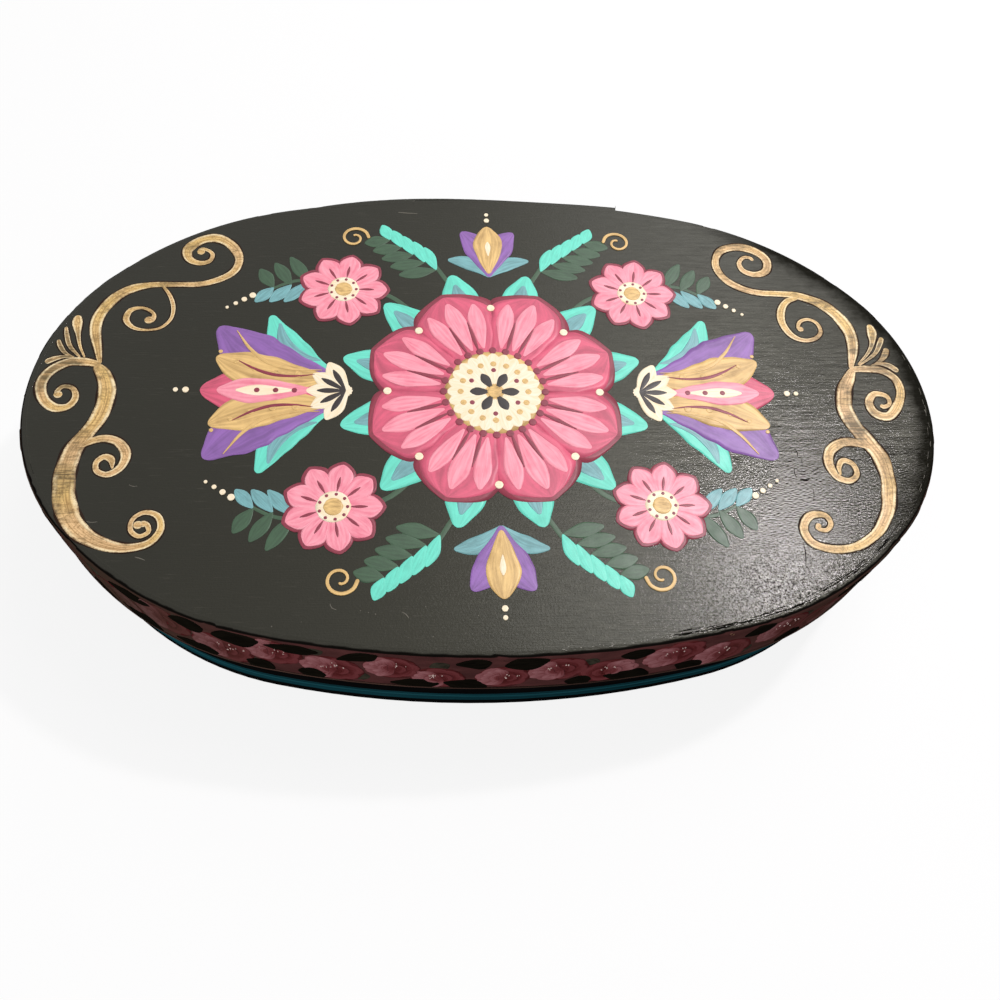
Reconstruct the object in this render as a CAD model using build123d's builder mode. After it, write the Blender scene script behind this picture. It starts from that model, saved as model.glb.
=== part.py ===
from build123d import *
import os
from math import cos, radians, sin

# Oval bentwood box with a lift-off lid. Each half is one strip of thin wood, bent round the oval and
# lapped on itself at the back, with an oval board pegged inside it.
# Millimetres, +Z up. The origin is under the middle of the box, on the surface it stands on.
# +X runs along the box, and the laps are on the side towards +Y.

# Plan of the lid: end, shoulder and side arcs that meet tangent to one another
LENGTH = 400.0
WIDTH = 240.0
END_RADIUS = 95.0
END_ARC_DEGREES = 41.0
SIDE_ARC_DEGREES = 12.35

# Lid
HEIGHT = 75.0
RIM_HEIGHT = 40.0
RIM_THICKNESS = 3.0
LID_BOARD_THICKNESS = 6.0
TOP_ROUND = 2.5

# Base
SIDE_THICKNESS = 3.0
BOTTOM_BOARD_THICKNESS = 6.0

# Fits and edges
LID_CLEARANCE = 0.5
BOARD_CLEARANCE = 0.15
EDGE_CHAMFER = 0.8
ROUND_DEPTH_SHARE = 0.36
OVERRUN = 2.0

# Laps: places along the back are shares of the side arc, from its middle towards +X
LAP_END_SHARE = 0.675
LAP_ROW_SHARE = 0.57
LAP_MIDDLE_SHARE = 0.26
LAP_TIP_SHARE = -0.36
LAP_RISE_SHARE = -0.86
LAP_BED_SHARE = 0.09
LAP_FILL_SHARE = 0.015
LAP_BOW_SHARE = 0.72
GLUE_LINE = 0.3
RIM_TIP_THICKNESS = 0.9
RIM_END_THICKNESS = 1.8
RIM_ROW_PROUD = 1.3
RIM_MIDDLE_PROUD = 0.2
SIDE_TIP_THICKNESS = 0.9
SIDE_END_THICKNESS = 0.6

# Whittled pegs through the bands into the edges of the boards
PEG_RADIUS = 1.1
PEG_SIDES = 8
PEG_LENGTH = 14.0
PEG_SINK = 0.05
PEG_CLEARANCE = 0.05
PEG_SIDE_SHARE = 0.92

# Tacks through the laps, at shares of each band's height
TACK_HEAD_RADIUS = 1.8
TACK_HEAD_THICKNESS = 0.6
TACK_HEAD_PROUD = 0.15
TACK_HEAD_SIDES = 10
TACK_HEAD_TAPER_DEGREES = 35.0
TACK_SHANK_RADIUS = 0.6
TACK_SHANK_SIDES = 5
TACK_COVER = 0.6
TACK_CLEARANCE = 0.05
RIM_TACK_SHARES = (0.2, 0.5, 0.78)
SIDE_TACK_SHARES = (0.16, 0.4, 0.64, 0.88)

# Sizes that follow
half_length = LENGTH / 2
half_width = WIDTH / 2
rim_bottom = HEIGHT - RIM_HEIGHT
base_height = HEIGHT - LID_BOARD_THICKNESS
base_inset = RIM_THICKNESS + LID_CLEARANCE
tack_length = min(RIM_THICKNESS, SIDE_THICKNESS) - TACK_COVER

# Shoulder and side radii: each arc starts in the direction in which the one before it ends
end_angle = radians(END_ARC_DEGREES)
side_angle = radians(SIDE_ARC_DEGREES)
end_reach = half_length - END_RADIUS
side_reach = half_width - END_RADIUS
end_drop = 1 - sin(end_angle)
side_drop = 1 - cos(side_angle)
cross = cos(end_angle) * side_drop - sin(side_angle) * end_drop
shoulder_gain = (end_reach * side_drop - side_reach * sin(side_angle)) / cross
side_gain = (side_reach * cos(end_angle) - end_reach * end_drop) / cross
shoulder_radius = END_RADIUS + shoulder_gain
side_radius = shoulder_radius + side_gain
shoulder_x = end_reach - shoulder_gain * cos(end_angle)
shoulder_y = -shoulder_gain * sin(end_angle)
side_y = half_width - side_radius

# The oval's arcs, leftwards from the middle of the back: centre, radius and the angle where each ends
BACK = 90.0
ARCS = (
    ((0, side_y), side_radius, BACK + SIDE_ARC_DEGREES),
    ((-shoulder_x, shoulder_y), shoulder_radius, 180 - END_ARC_DEGREES),
    ((-end_reach, 0), END_RADIUS, 180 + END_ARC_DEGREES),
    ((-shoulder_x, -shoulder_y), shoulder_radius, 270 - SIDE_ARC_DEGREES),
    ((0, -side_y), side_radius, 270 + SIDE_ARC_DEGREES),
    ((shoulder_x, -shoulder_y), shoulder_radius, 360 - END_ARC_DEGREES),
    ((end_reach, 0), END_RADIUS, 360 + END_ARC_DEGREES),
    ((shoulder_x, shoulder_y), shoulder_radius, 360 + BACK - SIDE_ARC_DEGREES),
    ((0, side_y), side_radius, 360 + BACK),
)


def back_angle(share):
    """Angle of a place on the back's side arc."""
    return BACK - share * SIDE_ARC_DEGREES


def back_point(share, inset):
    """Point at a place on the back, a distance inside the lid's outer face."""
    angle = radians(back_angle(share))
    reach = side_radius - inset
    return reach * cos(angle), side_y + reach * sin(angle)


def oval(inset, leave_share=0, arrive_share=0):
    """Draw the oval a distance inside the lid's outer face, leftwards between two places on the back."""
    start = back_angle(leave_share)
    for centre, radius, stop in ARCS[:-1]:
        CenterArc(centre, radius - inset, start, stop - start)
        start = stop
    centre, radius, stop = ARCS[-1]
    CenterArc(centre, radius - inset, start, stop - BACK + back_angle(arrive_share) - start)


def strip(inset, thickness, tip, end, proud, leave_share):
    """Draw a lapped strip's outline, from a place on its outer face round to its outer end."""
    inner = inset + thickness
    over_end = inset - proud
    under_end = over_end + end
    bed_end = under_end + GLUE_LINE
    bed_tip = inner - tip
    bed_middle = bed_end + LAP_BOW_SHARE * (bed_tip - bed_end)
    middle_share = (LAP_END_SHARE + LAP_TIP_SHARE) / 2
    oval(inset, leave_share, LAP_END_SHARE + LAP_BED_SHARE)
    oval(inner, LAP_TIP_SHARE - LAP_FILL_SHARE, LAP_TIP_SHARE)
    # The inner end, thinned to its tip
    Line(back_point(LAP_END_SHARE + LAP_BED_SHARE, inset), back_point(LAP_END_SHARE, bed_end))
    ThreePointArc(
        back_point(LAP_END_SHARE, bed_end),
        back_point(middle_share, bed_middle),
        back_point(LAP_TIP_SHARE, bed_tip),
    )
    Line(back_point(LAP_TIP_SHARE, bed_tip), back_point(LAP_TIP_SHARE, inner))
    # The outer end, laid over it with a glue line between
    Line(back_point(LAP_TIP_SHARE - LAP_FILL_SHARE, inner), back_point(LAP_TIP_SHARE, bed_tip - GLUE_LINE))
    ThreePointArc(
        back_point(LAP_TIP_SHARE, bed_tip - GLUE_LINE),
        back_point(middle_share, bed_middle - GLUE_LINE),
        back_point(LAP_END_SHARE, under_end),
    )
    Line(back_point(LAP_END_SHARE, under_end), back_point(LAP_END_SHARE, over_end))


def rim_lap_face():
    """Draw the outer face of the rim's lap, which swells over the tip below and again at its end."""
    Spline(
        back_point(LAP_RISE_SHARE, 0),
        back_point(LAP_TIP_SHARE, -(RIM_TIP_THICKNESS + GLUE_LINE)),
        back_point(LAP_MIDDLE_SHARE, -RIM_MIDDLE_PROUD),
        back_point(LAP_ROW_SHARE, -RIM_ROW_PROUD),
        back_point(LAP_END_SHARE, -RIM_END_THICKNESS),
    )


def cutter_plane(path, up):
    """Plane across the start of an edge's path on the back, with x out of the box and y off the edge."""
    start = path @ 0
    outward = start - Vector(0, side_y, start.Z)
    return Plane(origin=start, x_dir=outward, z_dir=outward.cross(Vector(0, 0, up)))


def cutter_back(reach):
    """Draw the outer sides of the section that takes off an edge, whose corner is at the origin."""
    Polyline((0, -reach), (OVERRUN, -reach), (OVERRUN, OVERRUN), (-reach, OVERRUN), (-reach, 0))


def peg_planes(inset, height):
    """Planes where pegs enter a band, each facing out of the box."""
    places = [(arc, (start + arc[2]) / 2) for arc, start in zip(ARCS[1:-1], [arc[2] for arc in ARCS])]
    side_turn = PEG_SIDE_SHARE * SIDE_ARC_DEGREES
    for arc, middle in ((ARCS[0], BACK), (ARCS[4], BACK + 180)):
        places += [(arc, middle - side_turn), (arc, middle + side_turn)]
    planes = []
    for (centre, radius, _), degrees in places:
        outward = Vector(cos(radians(degrees)), sin(radians(degrees)), 0)
        origin = Vector(*centre, height) + outward * (radius - inset)
        planes.append(Plane(origin=origin, x_dir=(0, 0, 1), z_dir=outward))
    return planes


def tack_planes(rows, bottom, height, shares):
    """Planes under the tacks' heads, each facing out of the box."""
    planes = []
    for row_share, inset in rows:
        angle = radians(back_angle(row_share))
        outward = Vector(cos(angle), sin(angle), 0)
        x, y = back_point(row_share, inset - TACK_HEAD_PROUD + TACK_HEAD_THICKNESS)
        for share in shares:
            planes.append(Plane(origin=(x, y, bottom + share * height), x_dir=(0, 0, 1), z_dir=outward))
    return planes


rim_peg_planes = peg_planes(PEG_SINK, HEIGHT - LID_BOARD_THICKNESS / 2)
side_peg_planes = peg_planes(base_inset + PEG_SINK, BOTTOM_BOARD_THICKNESS / 2)
rim_rows = ((LAP_ROW_SHARE, -RIM_ROW_PROUD), (LAP_MIDDLE_SHARE, -RIM_MIDDLE_PROUD))
side_rows = ((LAP_ROW_SHARE, base_inset), (LAP_MIDDLE_SHARE, base_inset))
rim_tack_planes = tack_planes(rim_rows, rim_bottom, RIM_HEIGHT, RIM_TACK_SHARES)
side_tack_planes = tack_planes(side_rows, 0, base_height, SIDE_TACK_SHARES)

# Peg, tack and the holes that they fill, each on a plane that faces out of the box
with BuildPart() as peg:
    with BuildSketch():
        RegularPolygon(PEG_RADIUS, PEG_SIDES)
    extrude(amount=-PEG_LENGTH)

with BuildPart() as peg_hole:
    with BuildSketch(Plane.XY.offset(OVERRUN)):
        RegularPolygon(PEG_RADIUS + PEG_CLEARANCE, PEG_SIDES)
    extrude(amount=-(OVERRUN + PEG_LENGTH + PEG_CLEARANCE))

with BuildPart() as tack:
    with BuildSketch():
        RegularPolygon(TACK_HEAD_RADIUS, TACK_HEAD_SIDES)
    extrude(amount=TACK_HEAD_THICKNESS, taper=TACK_HEAD_TAPER_DEGREES)
    with BuildSketch():
        RegularPolygon(TACK_SHANK_RADIUS, TACK_SHANK_SIDES)
    extrude(amount=-tack_length)

with BuildPart() as tack_hole:
    with BuildSketch():
        RegularPolygon(TACK_HEAD_RADIUS + TACK_CLEARANCE, TACK_HEAD_SIDES)
    extrude(amount=OVERRUN)
    with BuildSketch():
        RegularPolygon(TACK_SHANK_RADIUS + TACK_CLEARANCE, TACK_SHANK_SIDES)
    extrude(amount=-(tack_length + TACK_CLEARANCE))

# Base band, its lap flush outside so that the rim slides over it
with BuildPart() as base_band:
    with BuildSketch():
        with BuildLine():
            strip(base_inset, SIDE_THICKNESS, SIDE_TIP_THICKNESS, SIDE_END_THICKNESS, 0, LAP_END_SHARE)
        make_face()
    extrude(amount=base_height)
    for level, up in ((0, -1), (base_height, 1)):
        with BuildLine(Plane.XY.offset(level)) as side_edge:
            oval(base_inset)
        side_path = side_edge.wires()[0]
        with BuildSketch(cutter_plane(side_path, up)):
            with BuildLine():
                cutter_back(EDGE_CHAMFER)
                Line((-EDGE_CHAMFER, 0), (0, -EDGE_CHAMFER))
            make_face()
        sweep(path=side_path, mode=Mode.SUBTRACT)
    with Locations(*side_peg_planes):
        add(peg_hole.part, mode=Mode.SUBTRACT)
    with Locations(*side_tack_planes):
        add(tack_hole.part, mode=Mode.SUBTRACT)

# Bottom board, flush with the base band's lower edge
with BuildPart() as bottom_board:
    with BuildSketch():
        with BuildLine():
            oval(base_inset + SIDE_THICKNESS + BOARD_CLEARANCE)
        make_face()
    extrude(amount=BOTTOM_BOARD_THICKNESS)
    with Locations(*side_peg_planes):
        add(peg_hole.part, mode=Mode.SUBTRACT)

# Pegs round the bottom board
with BuildPart() as bottom_board_pegs:
    with Locations(*side_peg_planes):
        add(peg.part)

# Tacks of the base band's lap
with BuildPart() as base_lap_tacks:
    with Locations(*side_tack_planes):
        add(tack.part)

# Lid band, the rim, whose lap stands proud outside
with BuildPart() as lid_band:
    with BuildSketch(Plane.XY.offset(rim_bottom)):
        with BuildLine():
            strip(0, RIM_THICKNESS, RIM_TIP_THICKNESS, RIM_END_THICKNESS, RIM_END_THICKNESS, LAP_RISE_SHARE)
            rim_lap_face()
        make_face()
    extrude(amount=RIM_HEIGHT)
    with BuildLine(Plane.XY.offset(rim_bottom)) as rim_edge:
        rim_lap_face()
        oval(0, LAP_RISE_SHARE, LAP_END_SHARE)
    rim_path = rim_edge.wires()[0]
    with BuildSketch(cutter_plane(rim_path, -1)):
        with BuildLine():
            cutter_back(EDGE_CHAMFER)
            Line((-EDGE_CHAMFER, 0), (0, -EDGE_CHAMFER))
        make_face()
    sweep(path=rim_path, mode=Mode.SUBTRACT)
    with BuildLine(Plane.XY.offset(HEIGHT)) as top_edge:
        rim_lap_face()
        oval(0, LAP_RISE_SHARE, LAP_END_SHARE)
    top_path = top_edge.wires()[0]
    round_depth = ROUND_DEPTH_SHARE * TOP_ROUND
    with BuildSketch(cutter_plane(top_path, 1)):
        with BuildLine():
            cutter_back(TOP_ROUND)
            ThreePointArc((-TOP_ROUND, 0), (-round_depth, -round_depth), (0, -TOP_ROUND))
        make_face()
    sweep(path=top_path, mode=Mode.SUBTRACT)
    with Locations(*rim_peg_planes):
        add(peg_hole.part, mode=Mode.SUBTRACT)
    with Locations(*rim_tack_planes):
        add(tack_hole.part, mode=Mode.SUBTRACT)

# Lid board, flush with the rim's top
with BuildPart() as lid_board:
    with BuildSketch(Plane.XY.offset(base_height)):
        with BuildLine():
            oval(RIM_THICKNESS + BOARD_CLEARANCE)
        make_face()
    extrude(amount=LID_BOARD_THICKNESS)
    with Locations(*rim_peg_planes):
        add(peg_hole.part, mode=Mode.SUBTRACT)

# Pegs round the lid board
with BuildPart() as lid_board_pegs:
    with Locations(*rim_peg_planes):
        add(peg.part)

# Tacks of the rim's lap
with BuildPart() as lid_lap_tacks:
    with Locations(*rim_tack_planes):
        add(tack.part)

pieces = {
    "base_band": base_band,
    "bottom_board": bottom_board,
    "bottom_board_pegs": bottom_board_pegs,
    "base_lap_tacks": base_lap_tacks,
    "lid_band": lid_band,
    "lid_board": lid_board,
    "lid_board_pegs": lid_board_pegs,
    "lid_lap_tacks": lid_lap_tacks,
}
os.makedirs("parts", exist_ok=True)
for name, piece in pieces.items():
    piece.part.label = name
    export_step(piece.part, f"parts/{name}.step")
print("shoulder radius", shoulder_radius, "side radius", side_radius)
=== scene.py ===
import math
import random

import bpy
import numpy as np
from mathutils import Matrix, Vector
from mathutils.bvhtree import BVHTree


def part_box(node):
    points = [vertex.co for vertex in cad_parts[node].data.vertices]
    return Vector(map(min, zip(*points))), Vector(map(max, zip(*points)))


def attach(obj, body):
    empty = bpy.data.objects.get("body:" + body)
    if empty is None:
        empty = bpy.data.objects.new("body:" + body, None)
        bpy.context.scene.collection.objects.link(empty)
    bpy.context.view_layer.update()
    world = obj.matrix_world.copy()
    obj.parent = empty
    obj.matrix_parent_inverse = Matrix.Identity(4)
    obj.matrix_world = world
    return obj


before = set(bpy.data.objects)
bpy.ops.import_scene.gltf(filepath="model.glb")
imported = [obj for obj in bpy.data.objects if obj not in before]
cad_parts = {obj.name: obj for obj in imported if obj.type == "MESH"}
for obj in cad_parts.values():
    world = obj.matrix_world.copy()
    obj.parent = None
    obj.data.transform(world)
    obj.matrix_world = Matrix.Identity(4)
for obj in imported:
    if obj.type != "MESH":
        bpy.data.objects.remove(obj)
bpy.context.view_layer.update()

# Oval bentwood box, painted: charcoal lid with gold scrolls and a flower spray, a rim of roses, and a
# black base with a teal stripe. Drawing is in millimetres on the lid or the bands, and meshes in metres.
MM = 0.001

# Plan of the lid, as in the solids: end and side arcs, in millimetres and degrees
END_RADIUS = 95.0
END_ARC_DEGREES = 41.0
SIDE_ARC_DEGREES = 12.35

# Places taken from the solids: the lid's top in metres, its plan and its rim in millimetres
rim_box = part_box("lid_band")
lid_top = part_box("lid_board")[1].z
rim_low = rim_box[0].z / MM
rim_high = rim_box[1].z / MM
half_length = rim_box[1].x / MM
half_width = -rim_box[0].y / MM
base_inset = (rim_box[1].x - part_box("base_band")[1].x) / MM

# Paint films, in millimetres: thickness of each, depth at which they start, and rise from one to the next
FILM = 0.05
GOLD_FILM = 0.09
UNDER_FILM = 0.03
WEAR_FILM = 0.02
SEAM_FILM = 0.015
SUNK = 0.02
LAYER = 0.035

# Teal stripe of the base, in millimetres up from the floor
STRIPE_HEIGHT = 10.9
STRIPE_WIDTH = 9.2
STRIPE_SOFT = 0.2

# Camera of the photograph, in metres, with its focal length as a share of the frame's width
CAMERA_PLACE = (-0.03213, -0.22883, 0.40710)
CAMERA_AIM = (0.00005, -0.05202, 0.07500)
CAMERA_ROLL_DEGREES = 8.90
FOCAL_SHARE = 0.9125
SENSOR_MM = 36.0

# Lamps: name, place, aim and width in metres, power in watts, colour, and whether gloss shows it
WHITE = (1.0, 1.0, 1.0)
LAMPS = (
    ("key", (0.605, 0.42, 1.15), (0.11, -0.08, 0.07), 0.08, 9.7, (1.0, 0.94, 0.965), True),
    ("wide", (0.32, 0.36, 1.15), (0.05, -0.08, 0.07), 0.35, 2.4, WHITE, True),
    ("fill", (-1.0, -1.2, 0.4), (0.0, 0.0, 0.05), 0.9, 10.0, WHITE, False),
    ("back", (0.58, 1.10, 1.15), (0.05, 0.05, 0.07), 0.7, 3.6, WHITE, True),
)

# Floor and world: half the floor's width in metres, its greys in linear light, its glow and the sky's
FLOOR_HALF = 4.0
FLOOR_PALE = (0.93, 0.93, 0.93, 1.0)
FLOOR_DIM = (0.4, 0.4, 0.4, 1.0)
FLOOR_GLOW = 0.86
WORLD_LIGHT = 0.35

# Shine of the lid, a broad one under a narrow one; the painted sides have none
LID_SPECULAR = 0.28
LID_ROUGH = (0.42, 0.54)
LID_COAT = 0.215
LID_COAT_ROUGH = 0.11
LID_TINT = (1.0, 0.985, 0.79, 1.0)
LID_BUMP = (0.38, 0.00016)
PAINT_FLATNESS = 4.0
SIDE_SPECULAR = 0.0

# Colours as they look under plain white light, red, green and blue out of 255
CHARCOAL = (16, 15, 9)
CHARCOAL_FLECK = (74, 71, 64)
BLACK = (14, 14, 15)
GOLD = (236, 200, 128)
GOLD_ROSY = (240, 200, 148)
GOLD_DARK = (144, 110, 64)
GOLD_LIGHT = (250, 232, 188)
GOLD_THIN = (104, 88, 58)
GOLD_EDGE = (96, 64, 36)
UMBER = (40, 25, 16)
RIM_GROUND = (90, 53, 52)
# Darker brown of the painted shade at both ends of the rim
RIM_END_SHADE = (62, 50, 41)
# Near-black line of painted shade under the rim's rounded top edge
EDGE_SHADE = (16, 14, 12)
ROSE_DEEP = (76, 28, 28)
ROSE_RED = (96, 42, 44)
ROSE_MID = (118, 61, 64)
ROSE_PALE = (156, 104, 108)
TEAL = (22, 68, 77)
RASPBERRY = (224, 98, 126)
OCHRE = (238, 200, 132)
WOOD = (214, 182, 138)
WOOD_DARK = (178, 138, 92)
CRACK = (15, 14, 12)
SCUFF = (116, 112, 102)
# Pale paint of the painted highlights: glints along the front of the seam
GLINT = (184, 180, 172)

# Paints by name: their colour, that of their streaks or its share of the first, and the streaks' strength
PAINTS = {
    "turquoise": ((112, 228, 204), 0.9),
    "dusty_teal": ((126, 182, 186),),
    "raspberry": (RASPBERRY,),
    "pink": ((250, 168, 182), RASPBERRY, 0.6),
    "maroon": ((146, 56, 74),),
    "cream": ((250, 240, 216), OCHRE, 0.45),
    "ochre": (OCHRE, GOLD_DARK, 0.6),
    "violet": ((150, 106, 180),),
    "green": ((64, 92, 68),),
    "ink": ((44, 36, 36),),
    "dot_pale": ((206, 172, 164),),
}
DULL_PAINTS = {
    "rose_deep": (ROSE_RED, ROSE_DEEP),
    "leaf_dark": ((22, 19, 14), 0.6),
    "leaf_grey": ((64, 60, 50), 0.6),
}
BAND_PAINTS = {
    "rim_line": ((92, 68, 60), 0.7),
    "teal": (TEAL, 0.65),
    "teal_light": ((34, 86, 95), TEAL),
}
# Paints of the roses: the stroke's axis along which the reds change, and the reds from low to high
ROSE_PAINTS = {
    "rose_petal": ("Y", ROSE_RED, ROSE_MID, ROSE_PALE),
    "rose_dark_petal": ("Y", ROSE_DEEP, ROSE_RED, ROSE_MID),
    "rose_fan": ("X", ROSE_RED, ROSE_MID, ROSE_PALE),
}
DULL_SURFACE = {"roughness": 0.5, "specular": SIDE_SPECULAR}

dice = random.Random(7)


# Small tools

TINY = 1e-9
KNOT_STEPS = 24
FEWEST_PLACES = 5
TIP_SHARES = np.array([0.0, 0.06, 0.2, 0.42, 0.7])


def linear(colour):
    """A colour out of 255 as linear light."""
    shares = [c / 255 for c in colour]
    return tuple(s / 12.92 if s <= 0.04045 else ((s + 0.055) / 1.055) ** 2.4 for s in shares) + (1.0,)


def darker(colour, dark):
    """A colour scaled towards black by a share, or the darker colour that is given in its place."""
    return dark if isinstance(dark, tuple) else tuple(c * dark for c in colour)


def show(name, data):
    """A new object in the scene."""
    thing = bpy.data.objects.new(name, data)
    bpy.context.scene.collection.objects.link(thing)
    return thing


def gaps(line):
    """Distances between neighbours in rows of x, y and width."""
    return np.hypot(*np.diff(line[:, :2], axis=0).T)


def running(steps):
    """Running total of steps, from nought."""
    return np.concatenate([[0], np.cumsum(steps)])


def between(now, start, stop, first, second):
    """What lies at now when first is at start and second at stop."""
    return ((stop - now) * first + (now - start) * second) / (stop - start)


def curve(knots):
    """Close rows on a smooth curve through three or more knots."""
    points = np.vstack([2 * knots[0] - knots[1], knots, 2 * knots[-1] - knots[-2]])
    times = running(np.sqrt(gaps(points)) + TINY)
    rows = []
    for i in range(1, len(points) - 2):
        last = i == len(points) - 3
        now = np.linspace(times[i], times[i + 1], KNOT_STEPS, endpoint=last)[:, None]
        legs = [between(now, *times[j:j + 2], *points[j:j + 2]) for j in (i - 1, i, i + 1)]
        near = between(now, times[i - 1], times[i + 1], *legs[:2])
        far = between(now, times[i], times[i + 2], *legs[1:])
        rows.append(between(now, times[i], times[i + 1], near, far))
    return np.vstack(rows)


def smooth_line(knots, spacing):
    """Places by length on a smooth curve through the knots, and their rows of x, y and width."""
    line = np.array(knots, float)
    if len(line) > 2:
        line = curve(line)
    run = running(gaps(line))
    even = np.linspace(0, 1, max(FEWEST_PLACES, int(run[-1] / spacing) + 1))
    # Places bunch up towards both ends, where the tips are rounded
    tip = TIP_SHARES * even[1]
    places = run[-1] * np.unique(np.concatenate([even, tip, 1 - tip]))
    return places, np.column_stack([np.interp(places, run, column) for column in line.T])


class Oval:
    """The lid's plan some way inside its outer face, followed by length from the middle of the front."""

    def __init__(self, inset):
        end, side = math.radians(END_ARC_DEGREES), math.radians(SIDE_ARC_DEGREES)
        end_reach, side_reach = half_length - END_RADIUS, half_width - END_RADIUS
        end_drop, side_drop = 1 - math.sin(end), 1 - math.cos(side)
        cross = math.cos(end) * side_drop - math.sin(side) * end_drop
        shoulder_gain = (end_reach * side_drop - side_reach * math.sin(side)) / cross
        side_gain = (side_reach * math.cos(end) - end_reach * end_drop) / cross
        shoulder = END_RADIUS + shoulder_gain
        wide = shoulder + side_gain
        shoulder_x = end_reach - shoulder_gain * math.cos(end)
        shoulder_y = -shoulder_gain * math.sin(end)
        side_y = half_width - wide
        quarter = math.pi / 2
        # Centre and radius of each arc, and the angle at which it stops
        arcs = (
            (0, -side_y, wide, side - quarter),
            (shoulder_x, -shoulder_y, shoulder, -end),
            (end_reach, 0, END_RADIUS, end),
            (shoulder_x, shoulder_y, shoulder, quarter - side),
            (0, side_y, wide, quarter + side),
            (-shoulder_x, shoulder_y, shoulder, 2 * quarter - end),
            (-end_reach, 0, END_RADIUS, 2 * quarter + end),
            (-shoulder_x, -shoulder_y, shoulder, 3 * quarter - side),
            (0, -side_y, wide, 3 * quarter),
        )
        self.rows = []
        self.length = 0.0
        start = -quarter
        for x, y, radius, stop in arcs:
            self.rows.append((self.length, Vector((x, y, 0)), radius - inset, start))
            self.length += (radius - inset) * (stop - start)
            start = stop

    def at(self, run):
        """Point and outward direction at a length along the oval."""
        run %= self.length
        start, centre, radius, angle = next(row for row in reversed(self.rows) if row[0] <= run)
        angle += (run - start) / radius
        way = Vector((math.cos(angle), math.sin(angle), 0))
        return centre + way * radius, way


# Surfaces that take paint: how far a band is searched for, in metres, and the rim's free edges

REACH = 0.02
RIM_MARGIN_TOP = 1.35
RIM_MARGIN_LOW = 1.0
SQUASH_SHARE = 0.12
ROSE_SQUEEZE = 0.86


def tree_of(node):
    """A search tree over a solid's faces."""
    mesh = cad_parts[node].data
    return BVHTree.FromPolygons([v.co for v in mesh.vertices], [p.vertices for p in mesh.polygons])


rim_oval = Oval(0.0)
base_oval = Oval(base_inset)
rim_tree = tree_of("lid_band")
base_tree = tree_of("base_band")


def on_lid(x, y, height):
    """A place on the lid's top."""
    return Vector((x * MM, y * MM, lid_top + height * MM))


def on_band(oval, tree, run, z, height):
    """A place on the outer face of a band, found on the solid itself."""
    point, way = oval.at(run)
    place = Vector((point.x, point.y, z)) * MM
    hit = tree.ray_cast(place + way * REACH, -way, 2 * REACH)[0]
    if hit is None:
        hit = tree.find_nearest(place)[0]
    return hit + way * (height * MM)


def on_rim(run, z, height):
    """A place on the rim's outer face; what would run over its edges is squeezed up against them."""
    low, high = rim_low + RIM_MARGIN_LOW, rim_high - RIM_MARGIN_TOP
    middle, half = (low + high) / 2, (high - low) / 2
    share = abs(z - middle) / half
    free = 1 - SQUASH_SHARE
    if share > free:
        squeezed = free + SQUASH_SHARE * (1 - math.exp((free - share) / SQUASH_SHARE))
        z = middle + math.copysign(squeezed * half, z - middle)
    return on_band(rim_oval, rim_tree, run, z, height)


def on_roses(run, z, height):
    """A place on the rim for the roses, which are drawn on a longer strip and stand taller than wide."""
    return on_rim(run * ROSE_SQUEEZE, z, height)


def on_base(run, z, height):
    """A place on the base's outer face."""
    return on_band(base_oval, base_tree, run, z, height)


# Brush strokes: their section as shares of half width and film, and the waves of their edges

ACROSS = (-1.0, -0.82, 0.0, 0.82, 1.0)
CROWN_SHARES = (0.35, 0.95, 1.0, 0.95, 0.35)
LEAST_HALF = 0.04
LEAST_TIP = 0.01
EDGE_WAVES = (1.9, 4.7, 2.3, 5.3)
WAVE_SHIFT = 6.28
STILL = (0, 0, 0, 0)
DAB_STEPS = 9
DAB_TIP = 0.12
HOOP_STEPS = 480
HOOP_WAVES = (17, 43, 23, 37)
BRUSH_MAPS = 40
MAP_MARGIN = 0.005


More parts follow.
